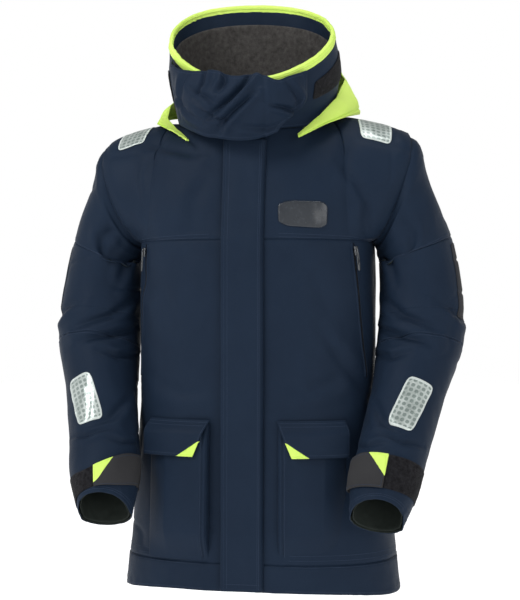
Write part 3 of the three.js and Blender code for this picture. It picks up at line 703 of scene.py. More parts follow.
SLEEVE_RADIUS = 72.0
STATION_MM, CUFF_STATION_MM = 95.0, 60
ARMHOLE_TUCK, TUCK_STATIONS = 5.5, 0.2               # the sleeve's top edge tucks under the yoke
CUFF_SLANT, CUFF_SLANT_START = 0.36, 7.3             # the cuff is shorter in front


def sleeve_folds(side, stations):
    def folds(points, normals, u, v):
        degrees, station = lerp(*SLEEVE_ARC, u), lerp(*stations, v)
        turned = (degrees + 180) % 360 - 180
        x, z = rad(turned) * SLEEVE_RADIUS, station * STATION_MM
        rise = crumple(points)
        for path, *sizes in SLEEVE_CREASES:
            path = [(math.radians(a + CREASE_TURN[side]) * SLEEVE_RADIUS, s * STATION_MM)
                    for a, s in path]
            for wrap in (0, 2 * math.pi * SLEEVE_RADIUS):
                moved = [(a - wrap, s) for a, s in path]
                rise = rise + crease_rise(x, z, moved, *sizes, scale=SLEEVE_CREASE_SCALE)
        rise = rise * smooth(0, 60, z) - SLEEVE_SINK[side] * smooth(16, 3, z)
        rise = rise + 2.5 * bell(z - 38, 20) + shoulder_puff(points)
        for seam in (2, 4):
            gap = (station - seam) * STATION_MM
            rise = rise + pucker(points, gap) - 1.2 * bell(gap, SEAM_WIDTH)
        end = (LAST - station) * CUFF_STATION_MM
        rise = rise * smooth(0, 55, end) + pucker(points, end, 26, 0.9)
        return rise
    return folds


def sleeve_shape(side, stations):
    def shape(u, v):
        degrees, station = lerp(*SLEEVE_ARC, u), lerp(*stations, v)
        forward = np.clip(np.sin(rad(degrees)), 0, 1)
        slant = CUFF_SLANT * forward * smooth(CUFF_SLANT_START, LAST, station)
        tuck = (ARMHOLE_GAP + ARMHOLE_TUCK) * smooth(TUCK_STATIONS, 0, station)
        return flip(sleeve(degrees, station - slant) - vec(tuck, 0, 0), side)
    return shape


def sleeve_core(side):
    def core(points):
        centre = flip(SLEEVE_CENTRE, side)
        z = points[..., 2]
        order = np.argsort(centre[:, 2])
        return np.stack([np.interp(z, centre[order, 2], centre[order, k]) for k in range(3)], -1)
    return core


def sleeve_cloth(side, stations):
    return Cloth(sleeve_shape(side, stations), sleeve_core(side), sleeve_folds(side, stations))


def body_core(points):
    return vec(0, 0, points[..., 2])


def yoke_core(points):
    return np.zeros_like(points) + np.array([0, 0, YOKE_Z - 40])


def collar_core(points):
    t = (points[..., 2] - NECK["z"]) / (RIM["z"] - NECK["z"])
    return vec(lerp(NECK["x"], RIM["x"], t), lerp(NECK["y"], RIM["y"], t), points[..., 2])


# ------------------------------------------------------------------ materials
WAVE_SCALE = 0.314       # a wave texture's scale for one crest each metre


class Tree:
    """The nodes of a material or the world, with short ways to add and link them."""

    def __init__(self, owner):
        owner.use_nodes = True
        self.owner = owner
        self.nodes, self.links = owner.node_tree.nodes, owner.node_tree.links

    def add(self, kind, **values):
        made = self.nodes.new(kind)
        for key, value in values.items():
            if key in made.inputs:
                made.inputs[key].default_value = value
            else:
                setattr(made, key, value)
        return made

    def feed(self, socket, value):
        """Links another node's output to a socket, or sets it to a number or a colour."""
        if isinstance(value, bpy.types.NodeSocket):
            self.links.new(value, socket)
        else:
            socket.default_value = (*value, 1) if isinstance(value, tuple) else value

    def coords(self, kind):
        return self.add("ShaderNodeTexCoord").outputs[kind]

    def cloth_uv(self):
        return self.add("ShaderNodeUVMap", uv_map="cloth").outputs[0]

    def mix(self, factor, first, second):
        made = self.add("ShaderNodeMix", data_type="RGBA")
        for index, value in ((0, factor), (6, first), (7, second)):
            self.feed(made.inputs[index], value)
        return made.outputs[2]

    def noise(self, coords, scale, detail=3.0, rough=0.55):
        made = self.add("ShaderNodeTexNoise", Scale=scale, Detail=detail, Roughness=rough)
        self.links.new(coords, made.inputs["Vector"])
        return made.outputs["Fac"]

    def ramp(self, value, low, high, out_low=0.0, out_high=1.0):
        made = self.add("ShaderNodeMapRange")
        for index, number in enumerate((value, low, high, out_low, out_high)):
            self.feed(made.inputs[index], number)
        return made.outputs[0]

    def math(self, operation, a, b):
        made = self.add("ShaderNodeMath", operation=operation)
        self.feed(made.inputs[0], a)
        self.feed(made.inputs[1], b)
        return made.outputs[0]

    def weave(self, coords, pitch):
        """Crossed waves along X and Y of the coordinates, one crest each pitch metres."""
        waves = []
        for axis in "XY":
            made = self.add("ShaderNodeTexWave", wave_type="BANDS", bands_direction=axis,
                            Scale=WAVE_SCALE / pitch)
            self.links.new(coords, made.inputs["Vector"])
            waves.append(made.outputs["Fac"])
        return self.math("MULTIPLY", *waves)

    def bump(self, height, strength, distance, before=None):
        made = self.add("ShaderNodeBump", Strength=strength, Distance=distance)
        self.links.new(height, made.inputs["Height"])
        if before is not None:
            self.links.new(before, made.inputs["Normal"])
        return made.outputs[0]

    def finish(self, sockets, shader="Principled BSDF"):
        """Feeds the shader's sockets by name, and gives the material."""
        for name, value in sockets.items():
            self.feed(self.nodes[shader].inputs[name], value)
        return self.owner


def brighter(colour, factor, added=0.0):
    return tuple(min(1, c * factor + added) for c in colour)


def woven(name, base, dark, roughness, pitch=0.0011, crinkle=0.25, specular=0.06, tint=None):
    """Plain-woven, coated cloth: weave and crinkles in the bump, and slightly uneven colour."""
    look = Tree(bpy.data.materials.new(name))
    uv, place_at = look.cloth_uv(), look.coords("Object")
    cross = look.weave(uv, pitch)
    broad, fine = look.noise(place_at, 9.0, 4.0), look.noise(place_at, 420.0, 2.0)
    shaded = look.mix(look.ramp(broad, 0.3, 0.7), dark, base)
    flecks = look.ramp(look.math("ADD", cross, fine), 0.2, 1.3, 0.0, 0.35)
    wrinkled = look.bump(look.noise(place_at, 55.0, 3.0, 0.6), crinkle, 0.0012)
    return look.finish({
        "Base Color": look.mix(flecks, shaded, tint or brighter(base, 1.5)),
        "Roughness": look.ramp(fine, 0.25, 0.75, roughness - 0.07, roughness + 0.07),
        "Sheen Weight": 0.01, "Sheen Roughness": 0.5, "Specular IOR Level": specular,
        "Normal": look.bump(cross, 0.35, 0.00025, wrinkled)})


def fuzzy(name, base, dark, scale, depth=0.0012):
    """Pile cloth: fleece, or the loop side of hook-and-loop tape."""
    look = Tree(bpy.data.materials.new(name))
    place_at = look.coords("Object")
    pile, clumps = look.noise(place_at, scale, 4.0, 0.75), look.noise(place_at, scale / 6, 2.0)
    both = look.math("ADD", pile, clumps)
    return look.finish({
        "Base Color": look.mix(look.ramp(both, 0.75, 1.25), dark, base),
        "Roughness": look.ramp(pile, 0.3, 0.7, 0.85, 1.0),
        "Sheen Weight": 0.04, "Specular IOR Level": 0.06, "Normal": look.bump(both, 0.8, depth)})


def moulded(name, base, roughness, metallic=0.0, grain=260.0):
    """Moulded plastic or painted metal, with a fine grain and rubbed lighter patches."""
    look = Tree(bpy.data.materials.new(name))
    place_at = look.coords("Object")
    fine = look.noise(place_at, grain, 3.0)
    rubbed = look.ramp(look.noise(place_at, 140.0, 4.0, 0.7), 0.55, 0.75)
    return look.finish({
        "Base Color": look.mix(rubbed, base, brighter(base, 1.7, 0.01)),
        "Roughness": look.ramp(fine, 0.3, 0.7, roughness - 0.06, roughness + 0.08),
        "Metallic": metallic, "Normal": look.bump(fine, 0.2, 0.0002)})


SILVER, SILVER_DARK, SILVER_DOT = (0.50, 0.55, 0.53), (0.34, 0.39, 0.37), (0.20, 0.245, 0.23)


def reflective_material():
    """Retroreflective film: silver with rows of darker dots."""
    look = Tree(bpy.data.materials.new("reflective_film"))
    cells = look.weave(look.cloth_uv(), 0.0094)
    mottle = look.noise(look.coords("Object"), 60.0, 3.0)
    silver = look.mix(look.ramp(mottle, 0.35, 0.7), SILVER_DARK, SILVER)
    return look.finish({
        "Base Color": look.mix(look.ramp(cells, 0.16, 0.26), silver, SILVER_DOT),
        "Metallic": 0.35, "Roughness": look.ramp(mottle, 0.3, 0.7, 0.24, 0.42),
        "Coat Weight": 0.6, "Coat Roughness": 0.12, "Normal": look.bump(cells, 0.3, 0.0003)})


NAVY = woven("navy_shell", (0.0086, 0.0168, 0.0335), (0.0064, 0.0128, 0.0265), 0.5,
             tint=(0.017, 0.030, 0.053))
YELLOW = woven("yellow_shell", (0.60, 0.80, 0.15), (0.50, 0.72, 0.09), 0.6, tint=(0.70, 0.88, 0.28))
CHARCOAL = woven("charcoal_trim", (0.030, 0.030, 0.032), (0.020, 0.020, 0.022), 0.8, pitch=0.0016,
                 specular=0.12)
LINING = woven("lining", (0.022, 0.027, 0.024), (0.014, 0.018, 0.016), 0.55, crinkle=0.6)
FLEECE = fuzzy("fleece", (0.072, 0.068, 0.066), (0.034, 0.032, 0.031), 700.0)
LOOP_TAPE = fuzzy("hook_and_loop", (0.018, 0.018, 0.021), (0.004, 0.004, 0.005), 1100.0, 0.0015)
ZIP_TAPE = woven("zip_tape", (0.005, 0.005, 0.006), (0.003, 0.003, 0.004), 0.8, pitch=0.0009,
                 specular=0.05)
ZIP_PLASTIC = moulded("zip_plastic", (0.010, 0.010, 0.011), 0.35)
PULL_METAL = moulded("pull_metal", (0.10, 0.105, 0.11), 0.32, 0.8)
THREAD = woven("thread", (0.030, 0.044, 0.074), (0.022, 0.034, 0.060), 0.75, pitch=0.0004,
               crinkle=0.1)
YELLOW_THREAD = woven("yellow_thread", (0.50, 0.80, 0.10), (0.42, 0.70, 0.06), 0.7, pitch=0.0004,
                      crinkle=0.1)
GLOSS_PRINT = moulded("print_black", (0.012, 0.016, 0.022), 0.22, grain=120.0)
REFLECTIVE = reflective_material()
PALE_EDGE = moulded("reflective_border", (0.50, 0.55, 0.53), 0.4, 0.1)
SHELL_LOOKS = [NAVY, LINING, THREAD]      # outer face, inner face and stitching


# ------------------------------------------------------------------ pieces
NAVY_SHELL = (SHELL_LOOKS, "navy_shell")
NAVY_CLOTH = ([NAVY, THREAD], "navy_shell")
YELLOW_CLOTH = ([YELLOW, YELLOW_THREAD], "yellow_shell")
CHARCOAL_CLOTH = ([CHARCOAL, THREAD], "charcoal_trim")
LOOP = ([LOOP_TAPE], "hook_and_loop")
METAL = ([PULL_METAL], "zip")


def make(name, node, parts, cloth=None, finish=NAVY_SHELL,
         moves_with="root"):
    """Builds a piece with the finish's materials, and hides the imported node it stands for; the
    finish's slot is not used. A piece that moves with one body's name is parented to that body; one
    given two bodies and the points between them is left in place, with no blend. A cloth is handed
    to declare(), which keeps nothing."""
    looks, slot = finish
    piece = build(name, parts, looks)
    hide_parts(node)
    if isinstance(moves_with, str):
        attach(piece, moves_with)
    else:
        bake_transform(piece)
    if cloth:
        declare(cloth)


def declare(cloth):
    v, u = np.meshgrid(np.linspace(0, 1, 50), np.linspace(0, 1, 50), indexing="ij")
    points = cloth.shape(u, v) / 1000


def sewn(cloth, nu, nv, lines, look=2, **cut):
    """A sheet of nu by nv cells, with topstitching along lines of (u, v) points."""
    return [sheet_part(cloth, nu, nv, **cut)] + [stitches(cloth, line, look) for line in lines]


def level(v, u0=0.0, u1=1.0):
    return [(u0, v), (u1, v)]


# ------------------------------------------------------------------ body and yoke
def build_body():
    centre = float(front_angle(PANEL_START_X, YOKE_Z))
    for label, side in SIDES:
        angles = (centre, 0.0) if side > 0 else (-180 - centre, -180.0)
        panel = Cloth(lambda u, v, a=angles: body(lerp(*a, u), lerp(YOKE_Z, HEM_SEAM_Z, v)),
                      body_core, shell_folds)
        parts = sewn(panel, 78, 150, [level(0.985, 0.14), level(0.97, 0.14)])
        make(f"front_panel_cloth_{label}", f"front_panel_{label}", parts, panel)

        yoke = Cloth(lambda u, v, s=side: front_yoke(u, v, s), yoke_core, yoke_folds(side))
        lines = [level(0.02, 0.12, 0.99), level(0.055, 0.12, 0.99)]
        parts = sewn(yoke, 84, 60, lines)
        make(f"front_yoke_cloth_{label}", f"front_yoke_{label}", parts, yoke)

    back = Cloth(lambda u, v: body(lerp(180.0, 0.0, u), lerp(YOKE_Z, HEM_SEAM_Z, v)), body_core,
                 shell_folds)
    make("back_panel_cloth", "back_panel", sewn(back, 130, 130, [level(0.985), level(0.97)]), back)
    yoke = Cloth(back_yoke, yoke_core, yoke_folds(0))
    make("back_yoke_cloth", "back_yoke", sewn(yoke, 140, 60, [level(0.03), level(0.06)]), yoke)

    def hem_shape(u, v):
        angle = lerp(centre, 180 - centre, u)
        point = body(angle, lerp(HEM_SEAM_Z, HEM_Z, v))
        point[..., 2] -= HEM_SIDE_DROP * v * np.abs(np.cos(rad(angle))) ** 3
        return point
    hem = Cloth(hem_shape, body_core, shell_folds)
    lines = [level(0.06, 0.03, 0.97), level(0.93, 0.03, 0.97)]
    make("hem_band_cloth", "hem_band", sewn(hem, 230, 14, lines, thick=3.0), hem)


# ------------------------------------------------------------------ sleeves
BLEND_LENGTH = 36
ARMHOLE_NORMAL = np.cross(SLEEVE_ACROSS[0], SLEEVE_FORWARD[0])
ARMHOLE_NORMAL *= np.sign(ARMHOLE_NORMAL[0]) / np.linalg.norm(ARMHOLE_NORMAL)
SHOULDER_BLEND = (SLEEVE_CENTRE[0], SLEEVE_CENTRE[0] + BLEND_LENGTH * ARMHOLE_NORMAL)
ELBOW_BLEND = ((300, -5, -388), (292, -18, -458))
UPPER_SPLIT = 3.35


def mirrored(points, side):
    return [tuple(flip(np.array(p, float), side)) for p in points]


def build_sleeve(label, side):
    root_to_sleeve = ("root", f"sleeve_{label}", *mirrored(SHOULDER_BLEND, side))
    sleeve_to_forearm = (f"sleeve_{label}", f"forearm_{label}", *mirrored(ELBOW_BLEND, side))

    def tube_piece(name, stations, node, blend, lines, along):
        cloth = sleeve_cloth(side, stations)
        parts = sewn(cloth, 104, along, lines, wrap=True)
        make(f"{name}_{label}", node, parts, cloth,
             moves_with=blend)

    tube_piece("sleeve_cap_cloth", (0, 2), f"sleeve_cap_{label}", root_to_sleeve,
               [level(0.985), level(0.955)], 50)
    tube_piece("sleeve_upper_cloth", (2, UPPER_SPLIT), f"upper_sleeve_{label}", root_to_sleeve, [],
               40)
    tube_piece("sleeve_elbow_cloth", (UPPER_SPLIT, 4), f"upper_sleeve_{label}", sleeve_to_forearm,
               [level(0.97)], 20)
    tube_piece("forearm_cloth", (4, LAST), f"forearm_{label}", sleeve_to_forearm,
               [level(0.012), level(0.975), level(0.955)], 110)


# ------------------------------------------------------------------ pieces laid on other cloth
def rounded(s, t, corner=0.13, power=8):
    """Pulls in the corners of the square from -1 to 1."""
    return s * (1 - corner * np.abs(t) ** power), t * (1 - corner * np.abs(s) ** power)


def laid_on(cloth, corners, lift, rise=None, corner=0.1):
    """A patch on a cloth, between four (u, v) corners: low left, low right, top right, top left."""
    c = np.array(corners, float)

    def shape(u, v):
        s, t = rounded(2 * u - 1, 2 * v - 1, corner)
        a, b = ((s + 1) / 2)[..., None], ((t + 1) / 2)[..., None]
        at = lerp(lerp(c[0], c[1], a), lerp(c[3], c[2], a), b)
        return cloth.at(at[..., 0], at[..., 1], lift)[0]
    return Cloth(shape, cloth.core, rise)


def border(part, cols, row_count, width, look):
    """Gives the outer face's edge cells another look."""
    marks = part["m"][:cols * row_count].reshape(row_count, cols)
    marks[:width], marks[-width:], marks[:, :width], marks[:, -width:] = look, look, look, look
    return part


def build_reflector(name, cloth, corners, node_name, body_name, lift=1.2):
    patch = laid_on(cloth, corners, lift, ripple(0.5, 14, 6))
    part = border(sheet_part(patch, 30, 44, 0.9, looks=ONE_LOOK), 30, 44, 2, 1)
    make(name, node_name, [part], finish=([REFLECTIVE, PALE_EDGE], "reflective"),
         moves_with=body_name)


# ------------------------------------------------------------------ front closure
FLAP_X, FLAP_Z, FLAP_LIFT = (-36.0, 36.0), (-70.0, -838.0), 12.0
GUARD_X, GUARD_Z, GUARD_LIFT = (-26, 26), (-84, -828), -4.2
TAPE_X, TAPE_Z, TAPE_LIFT = (3.2, 11), (-84, -832), 0.4
TEETH_X, TEETH_Z, TEETH_LIFT, TEETH_PITCH = (-5, 5), (-86, -830), 0.6, 2.5


def build_front_closure():
    width = FLAP_X[1] - FLAP_X[0]

    def flap_folds(points, normals, u, v):
        loose = 0.9 * swell(points, (30, 60, 120), 11) + 0.35 * swell(points, (14, 30, 22), 12)
        fixed_edge = -8.5 * smooth(0.93, 1.0, u)
        edges = pucker(points, u * width, 9, 0.4) + pucker(points, (1 - u) * width, 9, 0.4)
        return loose * smooth(1.0, 0.9, u) + fixed_edge + edges + 1.0 * smooth(0.06, 0.0, u)
    flap = Cloth(on_front(FLAP_X, FLAP_Z), body_core, flap_folds, FLAP_LIFT)
    lines = [[(u, 0.01), (u, 0.995)] for u in (0.06, 0.14, 0.90, 0.86)]
    lines.append([(0.06, 0.985), (0.9, 0.985)])
    hinge = ("root", "storm_flap", (39, -152, -450), (25, -152, -450))
    make("storm_flap_cloth", "storm_flap", sewn(flap, 26, 220, lines, thick=2.6), flap,
         moves_with=hinge)

    guard_cloth = Cloth(on_front(GUARD_X, GUARD_Z), body_core,
                        ripple(0.6, 40, 13), GUARD_LIFT)
    lines = [[(u, 0.0), (u, 1.0)] for u in (0.08, 0.92)]
    parts = sewn(guard_cloth, 12, 120, lines, thick=1.4)
    make("inner_storm_guard_cloth", "inner_storm_guard", parts, guard_cloth)
    for label, side in SIDES:
        tape = Cloth(on_front(TAPE_X, TAPE_Z, side), body_core, None, TAPE_LIFT)
        parts = sewn(tape, 6, 150, [[(0.55, 0.0), (0.55, 1.0)]], 0, thick=0.9, looks=ONE_LOOK)
        make(f"front_zip_tape_cloth_{label}", f"front_zip_tape_{label}", parts,
             finish=([ZIP_TAPE], "zip"))
    teeth = []
    spine = Cloth(on_front(TEETH_X, TEETH_Z), body_core, None, TEETH_LIFT)
    run = TEETH_Z[0] - TEETH_Z[1]
    for k in range(int(run / TEETH_PITCH)):
        v, side = (k + 0.5) * TEETH_PITCH / run, 1 if k % 2 else -1
        at = 0.5 + side * np.array([0.42, 0.12, -0.10])
        points, normals = spine.at(at, np.full(3, v))
        teeth.append(tube(points, normals, [0.85, 0.95, 1.1], 0, sides=6, flat=0.9))
    make("front_zip_teeth_row", "front_zip_teeth", teeth, finish=([ZIP_PLASTIC], "zip"))
    build_slider("front_zip_slider_body", front, (-85, -98), 5.2, 1.0, "front_zip_slider",
                 "front_slider")
    build_pull("front_zip_pull_tab", front, (-92, -125), 3.4, 5.4, "front_zip_pull", "front_pull")


def surface_point(shape, x, z, height):
    step = 0.5
    x, z = np.asarray(x, float), np.asarray(z, float)
    along, up = shape(x + step, z) - shape(x - step, z), shape(x, z + step) - shape(x, z - step)
    normal = np.cross(along, up)
    normal /= np.linalg.norm(normal, axis=-1)[..., None]
    base = shape(x, z)
    normal *= np.sign(np.sum(normal * (base - body_core(base)), axis=-1))[..., None]
    return base + normal * np.asarray(height)[..., None], normal


def build_slider(name, shape, zs, half, foot, node, body_name):
    """A zip slider: a waisted body with a bridge over it for the pull."""
    z = np.linspace(zs[0], zs[1], 14)
    t = np.linspace(0, 1, 14)
    points, normals = surface_point(shape, np.zeros(14), z, np.full(14, foot + 1.4))
    plate = tube(points, normals, half * (0.78 + 0.22 * np.cos(2 * np.pi * (t - 0.1)) ** 2), 0, 12,
                 0.34)
    hoop = np.sin(np.pi * t)
    points, normals = surface_point(shape, np.zeros(14), lerp(zs[0] - 1.5, zs[1] + 3, t),
                                    foot + 2.6 + 2.6 * hoop ** 0.6)
    bridge = tube(points, normals, 1.0, 0, 8, 0.8)
    make(name, node, [plate, bridge], finish=METAL, moves_with=body_name)


def build_pull(name, shape, zs, half, height, node, body_name):
    """A zip pull: an open loop with a moulded grip over its lower end."""
    t = np.linspace(0, 1, 40)
    turn = 2 * np.pi * t
    mid, reach = (zs[0] + zs[1]) / 2, (zs[0] - zs[1]) / 2
    ring_x = (half - 1.0) * signed_power(np.cos(turn), 0.8)
    ring_z = mid + (reach - 1.0) * signed_power(np.sin(turn), 0.55)
    points, normals = surface_point(shape, ring_x, ring_z, np.full(40, height))
    loop = tube(points, normals, 1.0, 0, 8, 0.85)
    bar_z = np.linspace(zs[1] + 12, zs[1] + 1, 10)
    points, normals = surface_point(shape, np.zeros(10), bar_z, np.full(10, height))
    grip = tube(points, normals, (half - 0.6) * np.array([0.55, 0.8, 1, 1, 1, 1, 1, 1, 0.95, 0.7]),
                0, 10, 0.35)
    make(name, node, [loop, grip], finish=METAL, moves_with=body_name)


# ------------------------------------------------------------------ chest zips and hand pockets
ZIP_ANGLE, ZIP_Z = (-34.0, -21.0), (-246.0, -478.0)
WELT_WIDTH, WELT_CELLS, ZIP_COILS = 17, (26, 90), 150
BAG_ANGLE, BAG_Z, BAG_LIFT = (-62, -24), (-262, -470), -8.0


def chest_zip_shape(side):
    def shape(x, t):
        """x is the distance across the zip in mm and t the share of its length."""
        turn = np.degrees(x / CHEST_HALF_WIDTH)
        return flip(body(lerp(*ZIP_ANGLE, t) + turn, lerp(*ZIP_Z, t)), side)
    return shape


def build_chest_zip(label, side):
    line = chest_zip_shape(side)

    def welt_folds(points, normals, u, v):
        across = (u - 0.5) * WELT_WIDTH
        welt = 1.5 * bell(np.abs(across) - 4.6, 1.7)
        return shell_folds(points, normals, u, v) + 0.35 + welt - 0.6 * bell(across, 2.6)
    welt = Cloth(lambda u, v: line((u - 0.5) * WELT_WIDTH, v), body_core, welt_folds)
    cols, row_count = WELT_CELLS
    part = sheet_part(welt, cols, row_count, 1.2, looks=(1, 1))
    part["m"][:cols * row_count].reshape(row_count, cols)[:, 8:18] = 0
    coil = []
    for k in range(ZIP_COILS):
        v = 0.045 + 0.92 * k / ZIP_COILS
        points, normals = welt.at(0.5 + np.array([-1.5, 0, 1.5]) / WELT_WIDTH, np.full(3, v), 1.1)
        coil.append(tube(points, normals, [0.45, 0.6, 0.45], 2, 4))
    make(f"chest_zip_tape_{label}", f"chest_zip_{label}", [part] + coil,
         finish=([ZIP_TAPE, NAVY, ZIP_PLASTIC], "zip"))

    def lengthwise(x, z):
        return line(x, (z - ZIP_Z[0]) / (ZIP_Z[1] - ZIP_Z[0]))
    build_slider(f"chest_zip_slider_body_{label}", lengthwise, (-252, -267), 4.6, 4.4,
                 f"chest_zip_slider_{label}", f"chest_slider_{label}")
    build_pull(f"chest_zip_pull_loop_{label}", lengthwise, (-259, -294), 3.6, 8.6,
               f"chest_zip_pull_{label}", f"chest_pull_{label}")
    bag = Cloth(lambda u, v: flip(body(lerp(*BAG_ANGLE, u), lerp(*BAG_Z, v)), side), body_core,
                lambda p, n, u, v: 2.0 * swell(p, 40, 21) * smooth(0, 0.2, u) * smooth(1, 0.8, u),
                BAG_LIFT)
    make(f"hand_pocket_bag_cloth_{label}", f"hand_pocket_bag_{label}",
         [sheet_part(bag, 30, 36, 2.0)], bag,
         finish=([LINING, LINING, THREAD], "lining"))


# ------------------------------------------------------------------ cargo pockets
POCKET_X, POCKET_Z = (60.0, 165.0), (-556.0, -790.0)
POCKET_FLAP_Z, FLAP_SLANT, FLAP_CORNER = (-549.0, -611.0), 25.0, 27.0


def build_cargo_pocket(label, side):
    xs = [POCKET_X[0] - 1, POCKET_X[0] + 1, POCKET_X[0] + 4, POCKET_X[1] - 30, POCKET_X[1] - 12,
          POCKET_X[1] + 6]
    share, wall = [0, 0.1, 0.2, 0.7, 0.85, 1.0], [0.05, 0.75, 1.0, 0.85, 0.45, 0.02]

    def shape(u, v):
        x = np.interp(u, share, xs) + 1.2 * (v - 0.5)
        return front(side * x, lerp(*POCKET_Z, v))

    def folds(points, normals, u, v):
        rise = lerp(13.5, 19.0, v) * (0.35 + 0.65 * smooth(-0.02, 0.12, v))
        loose = 1.5 * swell(points, (40, 40, 70), 31) + 0.5 * swell(points, (16, 16, 28), 32)
        pleat = -2.2 * bell(u - 0.235, 0.008) + 0.8 * bell(u - 0.26, 0.02)
        height = rise + loose * smooth(0.2, 0.3, u) * smooth(0.8, 0.7, u)
        return height * np.interp(u, share, wall) * smooth(-0.02, 0.22, 1 - v) + pleat
    pouch = Cloth(shape, body_core, folds)
    u_at = np.unique(np.concatenate([np.linspace(0, 0.22, 16), np.linspace(0.22, 0.78, 40),
                                     np.linspace(0.78, 1, 14)]))
    v_at = np.unique(np.concatenate([np.linspace(0, 0.95, 76), np.linspace(0.95, 1, 14)]))
    lines = [[(0.25, 0.03), (0.25, 0.97)], level(0.025, 0.22, 0.66)]
    parts = sewn(pouch, 0, 0, lines, thick=1.8, u_at=u_at, v_at=v_at)
    make(f"cargo_pocket_cloth_{label}", f"cargo_pocket_{label}", parts, pouch)

    corner_share = FLAP_CORNER / (POCKET_FLAP_Z[0] - POCKET_FLAP_Z[1])

    def slant(v):
        return POCKET_X[0] - 2 + FLAP_SLANT * v

    def corner(v):
        return FLAP_CORNER * np.clip((v - 1 + corner_share) / corner_share, 0, 1)

    def flap_folds(points, normals, u, v):
        loose = 0.8 * swell(points, (30, 30, 24), 33) * smooth(0, 0.3, v)
        free_edge, side_edge = 0.9 * smooth(0.9, 1.0, v), 1.1 * smooth(0.95, 1, u)
        return 3.0 + 18.5 * smooth(-0.12, 0.42, v) + loose + free_edge - side_edge
    flap = Cloth(lambda u, v: front(side * lerp(slant(v) + corner(v), POCKET_X[1] + 4, u),
                                    lerp(*POCKET_FLAP_Z, v)),
                 body_core, flap_folds)
    lines = [level(0.07, 0.01, 0.99), level(0.16, 0.01, 0.99), level(0.93, 0.02, 0.99)]
    lines += [[(u, 0.1), (u, 0.93)] for u in (0.02, 0.98)]
    ends = mirrored(((118, -140, -548), (118, -140, -563)), side)
    hinge = ("root", f"pocket_flap_{label}", *ends)
    make(f"pocket_flap_cloth_{label}", f"pocket_flap_{label}", sewn(flap, 52, 34, lines, thick=2.2),
         flap, moves_with=hinge)
    top = 1 - corner_share
    tip = Cloth(lambda u, v: front(side * (slant(lerp(top, 1, v)) + corner(lerp(top, 1, v)) * u),
                                   lerp(*POCKET_FLAP_Z, lerp(top, 1, v))), body_core,
                lambda p, n, u, v: flap_folds(p, n, u * 0, lerp(top, 1, v)) - 0.2)
    lines = [[(0.9, 0.15), (0.9, 0.97)], level(0.9, 0.12, 0.9)]
    make(f"pocket_flap_tip_{label}", f"pocket_flap_corner_{label}",
         sewn(tip, 12, 16, lines, 1, thick=2.0, looks=ONE_LOOK), finish=YELLOW_CLOTH,
         moves_with=f"pocket_flap_{label}")


# ------------------------------------------------------------------ collar, face guard and hood
COLLAR_ARC = (-84.0, 262.0)
RIM_WIDTH, FACING_WIDTH, SEAM_LAP = 12.0, 36.0, 2
DEGREE_MM, GUARD_MM = 2.4, 145.0
# The collar's loop patches: node, cells, noise seed, and (degrees, height) corners.
LOOP_PATCHES = [
    ("collar_loop_patch", (34, 22), 46, [(-38, 0.40), (6, 0.50), (6, 0.80), (-36, 0.66)]),
    ("face_guard_loop", (12, 34), 47, [(191, 0.14), (200, 0.12), (200, 0.66), (193, 0.66)]),
]
# The face guard's creases: (degrees, share of its height) points, half width in mm, depth, lean.
GUARD_CREASES = [
    ([(-80, 1.1), (-85, 0.88), (-92, 0.66), (-101, 0.44), (-108, 0.30)], 5.5, 15.0, -8.0),
    ([(-99, 1.1), (-98, 0.9), (-101, 0.70)], 4.5, 9.0, 5.0),
    ([(-79, 0.72), (-91, 0.45), (-98, 0.28), (-102, 0.12)], 5, 10.0, -6.0),
    ([(-70, 0.50), (-61, 0.40), (-50, 0.24)], 4.5, 8.0, 5.0),
    ([(-60, 0.85), (-50, 0.46), (-55, 0.16)], 5, 7.0, -4.0),
    ([(-124, 0.98), (-129, 0.6), (-136, 0.2)], 5.5, 5.0, 3.5),
    ([(-120, 0.7), (-108, 0.62), (-100, 0.5)], 6, 5.5, 3.0),
    ([(-112, 1.08), (-112, 0.8), (-116, 0.6)], 4, 7.0, -4.0),
    ([(-90, 0.25), (-70, 0.12), (-60, 0.18)], 6, 4.5, 2.5),
    ([(-140, 0.5), (-125, 0.3), (-110, 0.22)], 7, 4.5, 3.0),
    ([(-116, 0.45), (-104, 0.30), (-94, 0.30)], 6, 5.0, -3.0),
]


def collar_folds(points, normals, u, v):
    degrees = np.degrees(np.arctan2(points[..., 1] + 30, points[..., 0] + 6))
    rise = 1.6 * swell(points, (60, 60, 45), 41) + 0.7 * swell(points, (24, 24, 20), 42)
    right_bulge = 9 * bell(degrees - 4, 34) * bell(points[..., 2] - 62, 45)
    return rise + right_bulge


